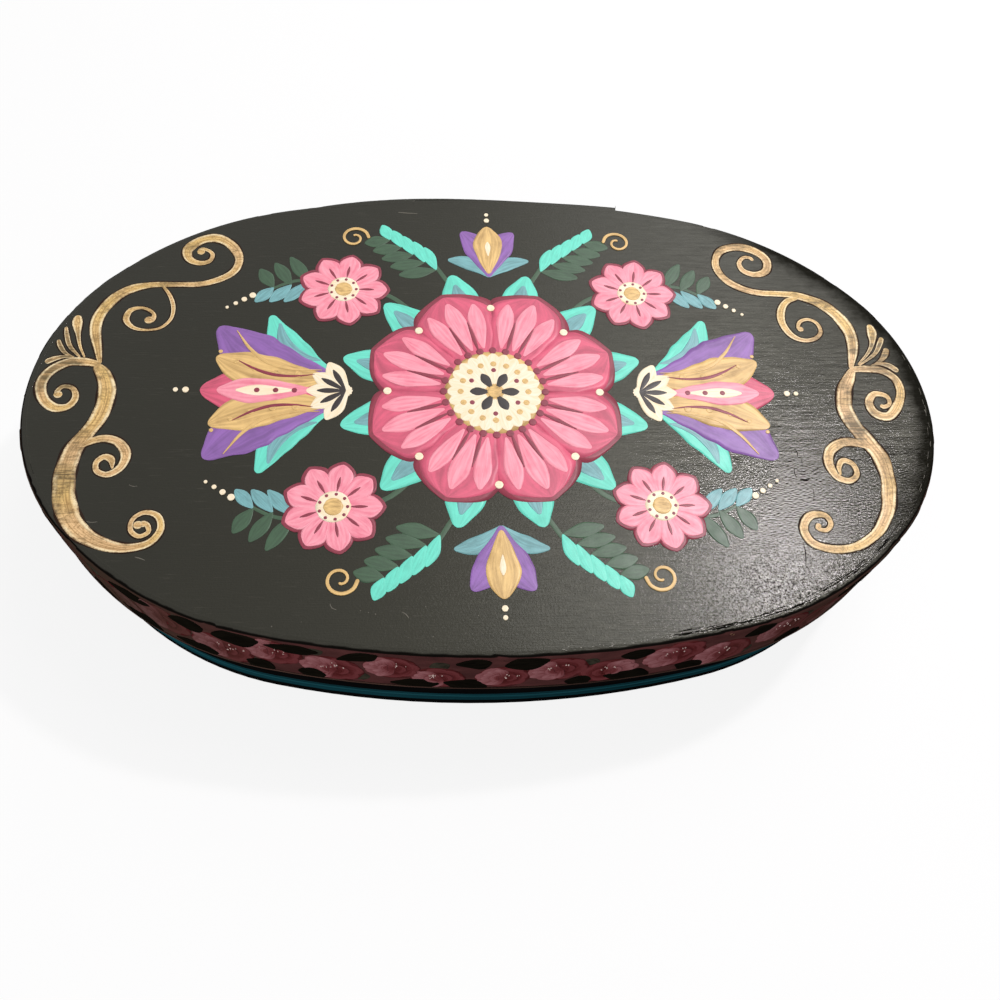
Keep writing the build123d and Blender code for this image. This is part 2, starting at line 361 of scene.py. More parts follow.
class Coat:
    """Brush strokes of one colour, gathered into one mesh piece on one body."""

    def __init__(self, name, material, body, surface, level, film=FILM, spacing=1.2, wobble=0.03):
        self.name, self.material, self.body, self.surface = name, material, body, surface
        self.spacing, self.wobble = spacing, wobble
        self.section = [(side, level * LAYER + crown * film) for side, crown in zip(ACROSS, CROWN_SHARES)]
        self.section += [(1.0, -SUNK), (-1.0, -SUNK)]
        self.points, self.faces, self.maps = [], [], []

    def stroke(self, knots):
        """A closed ribbon along x, y and width knots, its width rounded off at the ends."""
        places, rows = smooth_line(knots, self.spacing)
        along = [np.gradient(rows[:, i], places) for i in (0, 1)]
        size = np.hypot(*along) + TINY
        normal = np.column_stack([-along[1] / size, along[0] / size])
        half = np.maximum(rows[:, 2] / 2, LEAST_HALF)
        for distance, radius in ((places, half[0]), (places[-1] - places, half[-1])):
            near = np.clip(distance / radius, 0, 1)
            half = half * np.sqrt(np.clip(1 - (1 - near) ** 2, LEAST_TIP, 1))
        shifts = [dice.uniform(0, WAVE_SHIFT) for _ in EDGE_WAVES]
        waves = [np.sin(places / wave + shift) for wave, shift in zip(EDGE_WAVES, shifts)]
        self.sweep(rows[:, :2], normal, half, waves, places / places[-1])

    def dab(self, x, y, radius, radius_y=None):
        """A round or oval spot."""
        tall = radius if radius_y is None else radius_y
        steps = np.linspace(-1, 1, DAB_STEPS)
        line = np.column_stack([x + radius * steps, np.full(DAB_STEPS, y)])
        half = np.maximum(tall * np.sqrt(1 - steps ** 2), DAB_TIP * tall)
        self.sweep(line, np.tile((0.0, 1.0), (DAB_STEPS, 1)), half, STILL, steps / 2 + 0.5)

    def hoop(self, oval, z, width):
        """A stripe right round a band."""
        shares = np.linspace(0, 1, HOOP_STEPS, endpoint=False)
        line = np.column_stack([shares * oval.length, np.full(HOOP_STEPS, z)])
        waves = [np.sin(2 * math.pi * wave * shares) for wave in HOOP_WAVES]
        self.sweep(line, np.tile((0.0, 1.0), (HOOP_STEPS, 1)), width / 2, waves, shares, True)

    def sweep(self, line, normal, half, waves, shares, closed=False):
        """Add the faces of a ribbon with a half width and waves at its edges, open or closed on itself.

        The brush map runs along it by share, after a whole number that sets strokes apart, and across it.
        """
        first, count, width = len(self.points), len(line), len(self.section)
        left = half * (1 + self.wobble * (waves[0] + waves[1]))
        right = half * (1 + self.wobble * (waves[2] + waves[3]))
        offset = dice.randrange(BRUSH_MAPS) + MAP_MARGIN
        for (x, y), (out_x, out_y), *halves, share in zip(line, normal, right, left, shares):
            along = offset + (1 - 2 * MAP_MARGIN) * share
            for side, lift in self.section:
                reach = side * halves[side > 0]
                self.points.append(self.surface(x + out_x * reach, y + out_y * reach, lift))
                self.maps.append((along, side / 2 + 0.5))
        for i in range(count if closed else count - 1):
            here = first + i * width
            there = first + (i + 1) % count * width
            for j in range(width):
                beside = (j + 1) % width
                self.faces.append((here + j, here + beside, there + beside, there + j))
        if not closed:
            last = first + (count - 1) * width
            self.faces.append(tuple(reversed(range(first, first + width))))
            self.faces.append(tuple(range(last, last + width)))

    def build(self):
        """Make the mesh piece and set it riding."""
        mesh = bpy.data.meshes.new(self.name)
        mesh.from_pydata([tuple(p) for p in self.points], [], self.faces)
        layer = mesh.uv_layers.new(name="brush")
        for loop in mesh.loops:
            layer.data[loop.index].uv = self.maps[loop.vertex_index]
        mesh.shade_smooth()
        mesh.materials.append(self.material)
        mesh.validate()
        piece = show(self.name, mesh)
        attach(piece, self.body)


def build_all(coats):
    """Make the pieces of several coats."""
    for coat in coats.values():
        coat.build()


# Nodes of materials and of the world


def operator(name):
    """A method that joins a value with others by a math node."""
    return lambda value, *others: value.tree.math(name, value, *others)


class Value:
    """An output of a node, which can stand in sums."""

    def __init__(self, tree, socket):
        self.tree, self.socket = tree, socket

    __add__ = operator("ADD")
    __sub__ = operator("SUBTRACT")
    __mul__ = operator("MULTIPLY")
    __truediv__ = operator("DIVIDE")
    __pow__ = operator("POWER")
    __abs__ = operator("ABSOLUTE")

    def __rsub__(self, number):
        return self.tree.math("SUBTRACT", number, self)


class Tree:
    """The nodes of a material or of the world."""

    def __init__(self, owner):
        owner.use_nodes = True
        self.nodes = owner.node_tree.nodes
        self.links = owner.node_tree.links

    def put(self, socket, value):
        """Set an input, or link a value to it."""
        if isinstance(value, Value):
            self.links.new(value.socket, socket)
        else:
            socket.default_value = value

    def add(self, kind, *terms, output=0, **settings):
        """An output of a new node; terms fill its first inputs, settings its traits or named inputs."""
        node = self.nodes.new("ShaderNode" + kind)
        for name, value in settings.items():
            if hasattr(node, name):
                setattr(node, name, value)
            else:
                self.put(node.inputs[name], value)
        for socket, term in zip(node.inputs, terms):
            self.put(socket, term)
        return Value(self, node.outputs[output])

    def math(self, operation, *terms):
        """A sum on values or numbers."""
        return self.add("Math", *terms, operation=operation)

    def span(self, value, low, high, to_low=0.0, to_high=1.0):
        """A value's range mapped to another, held at its ends."""
        return self.add("MapRange", value, low, high, to_low, to_high, clamp=True)


NOISE_RANGE = (0.3, 0.7)


class Shader(Tree):
    """A node material being put together round one principled surface."""

    def __init__(self, name, roughness, specular):
        self.material = bpy.data.materials.new(name)
        super().__init__(self.material)
        self.surface = next(n for n in self.nodes if n.type == "BSDF_PRINCIPLED")
        self.dress(Roughness=roughness, Specular_IOR_Level=specular)

    def dress(self, **inputs):
        """The material, with inputs of its surface set or linked, named with low lines for spaces."""
        for name, value in inputs.items():
            self.put(self.surface.inputs[name.replace("_", " ")], value)
        return self.material

    def place(self, kind="Object"):
        """Texture coordinates."""
        return self.add("TexCoord", output=kind)

    def axis(self, place, name):
        """One of a place's three numbers."""
        return self.add("SeparateXYZ", place, output=name)

    def up(self):
        """How far a face looks up, from -1 to 1."""
        return self.axis(self.place("Normal"), "Z")

    def noise(self, place, scale, detail=3.0, rough=0.6, shift=(0.0, 0.0, 0.0)):
        """Noise over a place times its scale or three scales, and then shifted."""
        scales = scale if isinstance(scale, tuple) else (scale, scale, scale)
        mapped = self.add("Mapping", Vector=place, Scale=scales, Location=shift)
        traits = {"Scale": 1.0, "Detail": detail, "Roughness": rough}
        return self.add("TexNoise", output="Fac", Vector=mapped, **traits)

    def sway(self, noise, low=0.0, high=1.0):
        """Noise spread over a range."""
        return self.span(noise, *NOISE_RANGE, low, high)

    def blend(self, share, first, second):
        """Two colours mixed by a share; a colour is out of 255 or a value."""
        node = self.nodes.new("ShaderNodeMix")
        node.data_type = "RGBA"
        for place, term in ((0, share), (6, first), (7, second)):
            self.put(node.inputs[place], linear(term) if isinstance(term, tuple) else term)
        return Value(self, node.outputs[2])

    def vector(self, operation, *terms, output="Vector"):
        """A sum on places or directions."""
        return self.add("VectorMath", *terms, operation=operation, output=output)

    def bump(self, height, strength, distance, **normal):
        """The surface's normal raised by a height, or a given normal raised by it."""
        return self.add("Bump", Height=height, Strength=strength, Distance=distance, **normal)


# Paints. Scales of noise are per metre, or per stroke where they are taken along and across it.

STROKE_SCALE = (2.0, 7.0, 1.0)
COVER_SCALE = 120.0
PAINT_BUMP = (0.25, 0.0001)
GRAIN_SCALE = (60.0, 1800.0, 1800.0)
PIT_SCALE = 1000.0
PIT_SHARE = 1.3
STRIPE_SCALE = (14.0, 14.0, 520.0)
STRIPE_BUMP = (0.3, 0.00008)


def board_grain(shader):
    """Height of the fine wood grain and pitted paint on the lid, the grain running along the box."""
    place = shader.place()
    fine = shader.noise(place, GRAIN_SCALE, 2.0)
    pits = shader.noise(place, PIT_SCALE, 3.0, 0.7)
    return pits * PIT_SHARE + fine


def paint(name, colour, dark=0.82, streak=1.0, roughness=0.42, specular=0.4):
    """Brushed craft paint: streaks along the stroke, uneven cover, and wood grain showing through."""
    shader = Shader(name + "_paint", roughness, specular)
    brush = shader.noise(shader.place("UV"), STROKE_SCALE, 4.0)
    cover = shader.noise(shader.place(), COVER_SCALE)
    thin = shader.span(cover, 0.5, 0.75) * (0.5 * streak)
    share = shader.math("MINIMUM", shader.span(brush, 0.38, 0.66) * streak + thin, 1.0)
    return shader.dress(
        Base_Color=shader.blend(share, colour, darker(colour, dark)),
        Roughness=shader.sway(cover, roughness - 0.05, roughness + 0.08),
        Normal=shader.bump(board_grain(shader), *PAINT_BUMP),
    )


def band_paint(name, colour, dark):
    """Paint of a stripe laid along a band, streaked along it."""
    shader = Shader(name + "_paint", 0.5, SIDE_SPECULAR)
    streaks = shader.noise(shader.place(), STRIPE_SCALE, 4.0)
    return shader.dress(
        Base_Color=shader.blend(shader.span(streaks, 0.36, 0.66), colour, darker(colour, dark)),
        Roughness=shader.sway(streaks, 0.42, 0.56),
        Normal=shader.bump(streaks, *STRIPE_BUMP),
    )


# Gold paint, and the places where it is thin: middle, reach in metres, and how thin
GOLD_STROKE_SCALE = (7.0, 9.0, 1.0)
GOLD_HATCH_SCALE = (90.0, 1100.0, 60.0)
GOLD_COVER_SCALE = 70.0
GOLD_TINT_SCALE = 28.0
GOLD_GRIT_SCALE = 1100.0
GOLD_BUMP = (0.5, 0.00008)
WORN_CORE = 0.3
WORN_SPOTS = (
    ((-0.190, 0.011), 0.016, 0.26), ((-0.176, -0.040), 0.016, 0.09), ((-0.186, 0.030), 0.012, 0.18),
    ((0.165, -0.012), 0.014, 0.16), ((0.184, 0.027), 0.022, 0.22),
)


def gold_paint():
    """Streaky gold with pale and dark edges, rosy patches and thin places where the ground shows."""
    shader = Shader("gold_paint", 0.45, 0.28)
    uv = shader.place("UV")
    place = shader.place()
    brush = shader.noise(uv, GOLD_STROKE_SCALE, 5.0, 0.65)
    hatch = shader.noise(place, GOLD_HATCH_SCALE, 2.0)
    cover = shader.noise(place, GOLD_COVER_SCALE, 5.0, 0.7)
    tint = shader.noise(place, GOLD_TINT_SCALE, 2.0)
    grit = shader.noise(place, GOLD_GRIT_SCALE, 2.0)
    colour = shader.blend(shader.span(tint, 0.4, 0.62), GOLD, GOLD_ROSY)
    spans = ((brush, 0.44, 0.6, 0.75), (hatch, 0.52, 0.68, 0.55), (grit, 0.54, 0.68, 0.7))
    for noise, low, high, most in spans:
        colour = shader.blend(shader.span(noise, low, high, 0.0, most), colour, GOLD_DARK)
    rubbed = cover
    for spot, reach, thinness in WORN_SPOTS:
        far = shader.vector("DISTANCE", place, (*spot, lid_top), output="Value")
        rubbed = rubbed + shader.span(far, WORN_CORE * reach, reach, thinness, 0.0)
    thin = shader.span(rubbed, 0.5, 0.66) * shader.span(hatch, 0.35, 0.62, 0.4, 1.0)
    colour = shader.blend(thin, colour, GOLD_THIN)
    off_middle = abs(shader.axis(uv, "Y") - 0.5)
    pale = shader.span(off_middle, 0.24, 0.37) * shader.span(cover, 0.42, 0.58, 0.9, 0.05)
    colour = shader.blend(pale, colour, GOLD_LIGHT)
    ragged = off_middle + shader.sway(grit, -0.05, 0.05)
    return shader.dress(
        Base_Color=shader.blend(shader.span(ragged, 0.43, 0.48, 0.0, 0.7), colour, GOLD_EDGE),
        Roughness=shader.sway(cover, 0.38, 0.52),
        Normal=shader.bump(brush, *GOLD_BUMP),
    )


# Rose paint, and how far along the box the rim's colours dull into painted shade, in metres, and to what
# share
ROSE_STROKE_SCALE = (2.0, 9.0, 1.0)
ROSE_BUMP = (0.35, 0.00006)
END_SHADE = (0.085, 0.155, 0.0, 0.88)


def end_shade(shader, colour):
    """A colour of the rim, which dulls into painted shade, a darker brown, towards both ends of the box
    where the rim turns from the light.
    """
    along = abs(shader.axis(shader.place(), "X"))
    return shader.blend(shader.span(along, *END_SHADE), colour, RIM_END_SHADE)


def rose_paint(name, axis, low, middle, high):
    """A brush loaded with reds, from low to high across the stroke (axis Y) or along it (axis X)."""
    shader = Shader(name + "_paint", 0.55, SIDE_SPECULAR)
    uv = shader.place("UV")
    brush = shader.noise(uv, ROSE_STROKE_SCALE, 4.0)
    load = shader.math("FRACT", shader.axis(uv, axis)) + shader.sway(brush, -0.25, 0.25)
    part = shader.blend(shader.span(load, 0.1, 0.5), low, middle)
    loaded = shader.blend(shader.span(load, 0.45, 0.95), part, high)
    # The edges of a stroke melt into the red below
    ragged = abs(shader.axis(uv, "Y") - 0.5) + shader.sway(brush, -0.12, 0.12)
    melted = shader.blend(shader.span(ragged, 0.2, 0.5, 0.0, 0.6), loaded, middle)
    # The reds dull into painted shade towards both ends of the box
    return shader.dress(Base_Color=end_shade(shader, melted), Normal=shader.bump(brush, *ROSE_BUMP))


def paint_box():
    """The paints of the spray, the rim and the base, by name."""
    paints = {name: paint(name, *row) for name, row in PAINTS.items()}
    paints |= {name: paint(name, *row, **DULL_SURFACE) for name, row in DULL_PAINTS.items()}
    paints |= {name: rose_paint(name, *row) for name, row in ROSE_PAINTS.items()}
    paints |= {name: band_paint(name, *row) for name, row in BAND_PAINTS.items()}
    return paints


# Finishes of the solids

BOARD_SCALE = (9.0, 230.0, 60.0)
BAND_SCALE = (7.0, 7.0, 260.0)
PORE_SHARE = 4.5
MOTTLE_SCALE = 30.0
CHARCOAL_GRAIN_SCALE = (110.0, 1300.0, 1300.0)
FACING_OUT = (-0.25, -0.1)
LID_ROUGH_SCALE = (240.0, 700.0, 700.0)
RIM_MOTTLE_SCALE = (70.0, 70.0, 140.0)
BASE_MOTTLE_SCALE = (50.0, 50.0, 200.0)
BOARD_BUMP = (0.3, 0.00015)
BASE_BUMP = (0.2, 0.00012)


def wood_colour(shader, scale):
    """Pale bare wood with long grain, as a colour and a height."""
    place = shader.place()
    grain = shader.noise(place, scale, 4.0, 0.65)
    pores = shader.noise(place, tuple(PORE_SHARE * s for s in scale), 2.0)
    base = shader.blend(shader.span(grain, 0.35, 0.68), WOOD, WOOD_DARK)
    return shader.blend(shader.span(pores, 0.56, 0.72, 0.0, 0.45), base, darker(WOOD_DARK, 0.75)), grain


def charcoal(shader):
    """Charcoal paint: mottled, with a trace of grain in its colour."""
    place = shader.place()
    mottle = shader.noise(place, MOTTLE_SCALE, 4.0)
    flecks = shader.noise(place, CHARCOAL_GRAIN_SCALE, 2.0)
    base = shader.blend(shader.span(mottle, 0.35, 0.7), CHARCOAL, darker(CHARCOAL, 0.85))
    return shader.blend(shader.span(flecks, 0.62, 0.8, 0.0, 0.25), base, CHARCOAL_FLECK)


def outside(shader):
    """One on faces that look out of the box, nought on those that look in."""
    flat = shader.vector("MULTIPLY", shader.place(), (1.0, 1.0, 0.0))
    way = shader.vector("NORMALIZE", flat)
    facing = shader.vector("DOT_PRODUCT", way, shader.place("Normal"), output="Value")
    return shader.span(facing, *FACING_OUT)


# Zones of the lid's shine along x or y: from and to in metres, and the shares there where not 0 and 1
DULL_END = (0.124, 0.152, 1.0, 0.8)
DULL_BACK = (0.132, 0.168, 0.0, 0.92)
BACK_SLANT = 0.3
ROUGH_END = (0.050, 0.105)
PITTED = (-0.088, -0.062, 1.0, 0.0)
FLECKED = (-0.088, -0.060)
FLECKS_THIN = (-0.042, -0.012, 1.0, 0.42)
FLECKS_FADE = (-0.01, 0.04, 1.0, 0.2)
LINED = (-0.045, -0.030)
LINES_FADE = (-0.02, 0.04, 1.0, 0.3)

# The dull edge, as shares of a rounded oval, and the scales and strengths of the speckles
OVAL_POWER = 2.2
DULL_EDGE = (0.84, 0.94)
SMEAR_SCALE = 60.0
SMEAR = 0.05
SHINE_PIT_SCALE = 1500.0
FLECK_SCALE = (600.0, 2000.0, 2000.0)
FLECK_SHIFT = (0.0, 1.0, 0.0)
HAIRLINE_SCALE = (90.0, 1500.0, 1500.0)
SPECKLE = (-0.97, 1.05)
HAIRLINE = (-0.55, 0.55)


def lid_shine(shader):
    """Share of shine on the lid's top: dull at the right end and the back edge, speckled where pitted."""
    spot = shader.place()
    x = shader.axis(spot, "X")
    y = shader.axis(spot, "Y")
    across = abs(y / (half_width * MM)) ** OVAL_POWER
    along = abs(x / (half_length * MM)) ** OVAL_POWER
    smear = shader.sway(shader.noise(spot, SMEAR_SCALE, 4.0), -SMEAR, SMEAR)
    edge = shader.span(across + along + smear, *DULL_EDGE)
    back = edge * shader.span(y * BACK_SLANT + x, *DULL_BACK)
    even = shader.span(x, *DULL_END) * (1.0 - back)
    # Pits at the lower right, then short flecks of raised grain, and hairlines further up
    pits = shader.span(shader.noise(spot, SHINE_PIT_SCALE, 1.0), 0.32, 0.68, *SPECKLE)
    grain = shader.noise(spot, FLECK_SCALE, 0.0)
    beside = shader.noise(spot, FLECK_SCALE, 0.0, shift=FLECK_SHIFT)
    flecks = shader.span(grain - beside, -0.3, 0.3, *SPECKLE)
    lines = shader.span(shader.noise(spot, HAIRLINE_SCALE, 2.0), 0.35, 0.65, *HAIRLINE)
    flecked = shader.span(y, *FLECKED) * (shader.span(y, *FLECKS_THIN) * shader.span(y, *FLECKS_FADE))
    lined = shader.span(y, *LINED) * shader.span(y, *LINES_FADE)
    rough = shader.span(y, *PITTED) * pits + flecked * flecks + lined * lines
    return even * (shader.span(x, *ROUGH_END) * rough + 1.0)


def shine(shader, top):
    """The lid's two shines, on the share of a solid that is the lid's top."""
    share = top * lid_shine(shader)
    shader.dress(
        Specular_IOR_Level=share * LID_SPECULAR, Specular_Tint=LID_TINT,
        Coat_Weight=share * LID_COAT, Coat_Roughness=LID_COAT_ROUGH,
    )


def lid_board_material():
    """Charcoal on top and on the edge, bare wood below."""
    shader = Shader("lid_board_finish", 0.4, LID_SPECULAR)
    up = shader.up()
    wood, _ = wood_colour(shader, BOARD_SCALE)
    rough = shader.noise(shader.place(), LID_ROUGH_SCALE)
    shine(shader, shader.span(up, 0.3, 0.8))
    raised = shader.bump(board_grain(shader), *LID_BUMP)
    return shader.dress(
        Base_Color=shader.blend(shader.span(up, -0.7, -0.5), wood, charcoal(shader)),
        Roughness=shader.sway(rough, *LID_ROUGH), Normal=raised, Coat_Normal=raised,
    )


def bottom_board_material():
    """Bare wood inside, black below."""
    shader = Shader("bottom_board_finish", 0.55, 0.35)
    wood, grain = wood_colour(shader, BOARD_SCALE)
    return shader.dress(
        Base_Color=shader.blend(shader.span(shader.up(), -0.6, -0.2), BLACK, wood),
        Normal=shader.bump(grain, *BOARD_BUMP),
    )


# Soft edges of the rim's top paint and of the painted shade line below it, in millimetres below its top,
# and their unevenness in metres
TOP_PAINT_DROPS = (0.6, 0.35)
EDGE_SHADE_DROPS = (1.35, 1.1)
EDGE_SWAY = 0.0001


def rim_material():
    """Rose-brown ground outside, dulled by painted shade towards the ends; charcoal over the top edge and
    its seam, with a near-black line of painted shade below it; bare wood inside.
    """
    shader = Shader("rim_finish", 0.5, SIDE_SPECULAR)
    place = shader.place()
    mottle = shader.noise(place, RIM_MOTTLE_SCALE, 4.0)
    # The ground dulls into painted shade towards both ends of the box
    ground = end_shade(shader, shader.blend(shader.sway(mottle), RIM_GROUND, darker(RIM_GROUND, 0.72)))
    height = shader.axis(place, "Z") + shader.sway(mottle, -EDGE_SWAY, EDGE_SWAY)
    # Below the charcoal on top, a near-black line of painted shade along the rounded edge
    top, line = (
        shader.span(height, *((rim_high - drop) * MM for drop in drops))
        for drops in (TOP_PAINT_DROPS, EDGE_SHADE_DROPS)
    )
    wood, grain = wood_colour(shader, BAND_SCALE)
    sides = shader.blend(line, shader.blend(outside(shader), wood, ground), EDGE_SHADE)
    shine(shader, top)
    # The paint on top lies flatter than the rounded wood below it
    lean = shader.add("CombineXYZ", Z=top * PAINT_FLATNESS)
    normal = shader.add("NewGeometry", output="Normal")
    flat = shader.vector("NORMALIZE", shader.vector("ADD", normal, lean))
    raised = shader.bump(top * board_grain(shader) + grain * 0.2, *LID_BUMP, Normal=flat)
    return shader.dress(
        Base_Color=shader.blend(top, sides, charcoal(shader)),
        Roughness=shader.sway(mottle, *LID_ROUGH), Normal=raised, Coat_Normal=raised,
    )


def base_material():
    """Black with a teal stripe outside, bare wood inside."""
    shader = Shader("base_finish", 0.45, SIDE_SPECULAR)
    place = shader.place()
    mottle = shader.noise(place, BASE_MOTTLE_SCALE, 4.0)
    black = shader.blend(shader.sway(mottle), BLACK, darker(BLACK, 0.6))
    off = abs(shader.axis(place, "Z") - STRIPE_HEIGHT * MM)
    half = STRIPE_WIDTH / 2
    painted = shader.blend(shader.span(off, (half - STRIPE_SOFT) * MM, half * MM), TEAL, black)
    wood, grain = wood_colour(shader, BAND_SCALE)
    return shader.dress(
        Base_Color=shader.blend(outside(shader), wood, painted),
        Roughness=shader.sway(mottle, 0.36, 0.5), Normal=shader.bump(grain, *BASE_BUMP),
    )


def finish(material, *nodes):
    """Give solids their finish."""
    for node in nodes:
        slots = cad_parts[node].data.materials
        slots.clear()
        slots.append(material)


# Gold scrolls, in millimetres on the lid: x outwards from the middle, y and width.
# What was read off the photograph is a shade large, so it is scaled and shifted to the lid.
SCALE_X = 0.993
SCALE_Y = 0.989
SHIFT_X = -0.6
SHIFT_Y = -0.4
UNDER_EXTRA = 1.0

LEFT_SCROLL = (
    # Upper stem into the top volute
    (
        (171.3, 16, 1.6), (174.2, 27, 4), (176.3, 37, 5.2), (173.8, 48, 5.2), (166.5, 56.8, 4.8),
        (157, 60.6, 3.5), (146, 61.5, 2.8), (134, 61.9, 2.9), (125, 65, 3.5), (118.5, 71, 3.7),
        (117.4, 78, 3.8), (121.5, 86.2, 4.8), (129, 90.6, 5.2), (136.5, 88.6, 5), (141.5, 82.6, 4.6),
        (140, 76.8, 3.6), (135, 74.7, 2.8), (130.6, 76.4, 2.3), (129.9, 80.5, 2), (133, 83.1, 1.7),
        (135.2, 83, 2.6), (136, 81.9, 3.2),
    ),
    # Second volute below the stem
    (
        (150, 60.2, 1.2), (146.2, 54.6, 1.7), (144, 48, 1.9), (144.3, 41.2, 1.6), (148.2, 36.2, 1.3),
        (154.5, 34.8, 1.2), (160.4, 36.3, 1.9), (163.8, 40.6, 2.9), (162.6, 45.8, 2.6),
        (158.3, 47.4, 1.6), (154.4, 46.1, 1.6), (151.9, 43.3, 1.7), (152.6, 40.7, 3.2),
        (154.2, 40.2, 3.6),
    ),
    # Fan of four commas
    ((184.9, 42.6, 2.6), (184.5, 38.4, 4.4), (183, 31.5, 2), (181, 25, 1.3), (178.3, 19.3, 0.8)),
    ((188.9, 36, 1.4), (187.7, 31, 2.2), (185.6, 25.6, 1.9), (180.3, 19.4, 0.8)),
    ((191, 28.8, 1.6), (189.6, 25.4, 2.2), (186.8, 21.6, 1.6), (183, 19.3, 0.8)),
    ((194.3, 16.4, 2.8), (191, 18.4, 2.6), (187, 19.6, 1.6), (182.6, 19.3, 0.8)),
    # Middle volute
    (
        (171, 15.4, 3.2), (177.5, 16.9, 4.2), (184.5, 16.6, 4.2), (191, 12.4, 4.6), (194, 5, 4.8),
        (191.5, -2.6, 4.6), (186, -7.2, 4), (180.7, -6.2, 3.2), (178.6, -1.6, 2.8), (180.7, 3, 2.3),
        (184.8, 3.7, 2), (186.6, 1.2, 2.2), (186.4, -0.3, 3.2),
    ),
    # Main stem down to the lower volute
    (
        (172.8, 15.4, 3.6), (169.2, 10.6, 6.2), (166.6, 4, 7), (166, -4, 7.2), (167.6, -13, 6.8),
        (171.8, -21, 6.4), (175.4, -29, 7.8), (176.2, -40, 8.6), (174.8, -51, 8.8), (170.4, -61, 8.4),
        (162.8, -68.2, 6.6), (153.6, -72.3, 4.7), (145.4, -73, 3.6), (138.6, -70.4, 3.2),
        (135.3, -64.6, 2.9), (137.4, -58.9, 2.5), (142.4, -57.3, 2), (146.6, -60.2, 1.9),
        (146.8, -65.4, 2), (143.2, -68, 2), (139.9, -66, 2), (141.1, -62.7, 2.2), (143.6, -62.6, 3.4),
    ),
    # Side volute off the stem
    (
        (173.6, -27.8, 1.4), (169.6, -24.2, 3), (163.8, -22.4, 3.6), (157.6, -24.2, 4),
        (153.8, -29.8, 4), (155, -36.4, 3.4), (159.8, -39.8, 2.7), (164.2, -38, 2.6),
        (164.8, -33.8, 2.5), (162, -31.3, 2.7), (159.3, -32.5, 3.1), (158.1, -37, 0.7),
    ),
)
RIGHT_SCROLL = (
    (
        (168.3, 17, 1.8), (171.2, 26, 4.6), (172.8, 36, 6), (169.8, 46.5, 6.2), (162.5, 55.3, 5.8),
        (152.5, 60.3, 4.4), (143, 61.7, 3.5), (133, 62, 3.6), (123, 65.3, 3.8), (115.6, 71.8, 3.8),
        (113.2, 80, 3.6), (117, 88.6, 3.9), (126, 91.6, 4.6), (135, 89.2, 4.8), (139.8, 83, 4.4),
        (138.3, 76.5, 3.9), (132.6, 73.9, 3.6), (126.9, 75.9, 3), (125.4, 80.8, 2.4),
        (128.6, 84.9, 1.9), (132, 84.4, 1.8), (132.7, 82.8, 1.7),
    ),
    (
        (151, 59.4, 2), (145.2, 57, 3.2), (141.2, 51, 3.8), (140.4, 43.6, 3.9), (143.4, 36.6, 3.2),
        (148.8, 33.4, 2.3), (154.6, 34.4, 2), (158.3, 38.6, 2), (157.4, 43.9, 1.9), (153.4, 46, 1.8),
        (149.2, 44.4, 1.8), (147.8, 41.1, 1.9), (149, 38.9, 2.9),
    ),
    ((183.4, 43.4, 2.6), (183.7, 38.6, 4.8), (182.2, 32, 2.4), (178.6, 26, 1.4), (172.4, 19.4, 0.8)),
    ((187.9, 35.6, 2.2), (186, 31.8, 2.6), (182.4, 26.2, 1.8), (172.8, 18.8, 0.8)),
    ((188.8, 29.2, 2.4), (187.2, 25.8, 3), (184.4, 22.4, 2), (180.6, 19.6, 0.8)),
    ((191, 15.6, 3), (187.6, 18.8, 3), (183.2, 20, 1.9), (178.6, 18.9, 0.8)),
    (
        (168, 16.4, 3), (175, 17, 3.7), (182.6, 16.2, 4), (188.4, 11.6, 4.1), (189.3, 4.4, 4),
        (185.8, -3.6, 4.2), (179.6, -9.6, 4.6), (173.8, -7.6, 4.6), (172.6, -2, 4), (176.6, 2.8, 3),
        (181.9, 1.4, 2.4), (182.2, -2.6, 1.9), (178.9, -4.4, 2.4), (177.6, -3.4, 2.6),
    ),
    (
        (169.6, 17.2, 2.6), (166.4, 12, 5.2), (162.4, 4.4, 6.8), (160.4, -4, 7.5), (161.8, -12.6, 7.2),
        (166.4, -22, 7.4), (170.6, -31, 7.6), (171.5, -41, 6.4), (169.7, -52, 6.3), (165.6, -61.6, 5.2),
        (158.6, -69.8, 4.2), (149.6, -75, 3.7), (139, -76, 3.6), (130.6, -72.6, 3.7),
        (128.5, -66.2, 3.7), (132.8, -60.2, 3.5), (139.2, -60.2, 2.6), (140.8, -64, 2.3),
        (138.2, -67.2, 2.1), (134.6, -66.2, 2.1), (136, -64.2, 3),
    ),
    (
        (167.6, -26.8, 1.6), (161.4, -23.8, 4), (154.6, -23.7, 4.4), (148.6, -27.8, 4.6),
        (146.5, -34.6, 4.3), (149, -41.4, 3.3), (154, -43.3, 2.7), (158, -40, 2.5), (157.2, -34.8, 2.6),
        (153.2, -33, 2.9), (150.7, -36.2, 2.4), (150.5, -40.4, 0.8),
    ),
)

# Dots at the ends of curls, in the same way
LEFT_DOTS = ((135.3, 81.7, 3.6), (153.7, 40.4, 4), (186, -0.4, 3.6), (144.4, -63, 3.6))
RIGHT_DOTS = ((148.6, 40, 3),)


def fitted(knots, turn=1):
    """Knots read off the photograph, brought to the lid's size, and to its left if turn is -1."""
    return [(SCALE_X * turn * x + SHIFT_X, SCALE_Y * y + SHIFT_Y, width) for x, y, width in knots]


def scrolls(gold, umber):
    """The two gold scrolls, each on a slightly wider brown one."""
    for name, strokes, turn in (("scroll_left", LEFT_SCROLL, -1), ("scroll_right", RIGHT_SCROLL, 1)):
        under = Coat(name + "_under", umber, "lid", on_lid, 0, UNDER_FILM, wobble=0.05)
        coat = Coat(name, gold, "lid", on_lid, 0, GOLD_FILM, spacing=0.8, wobble=0.045)
        for knots in strokes:
            line = fitted(knots, turn)
            under.stroke([(x, y, width + UNDER_EXTRA) for x, y, width in line])
            coat.stroke(line)
        under.build()
        coat.build()


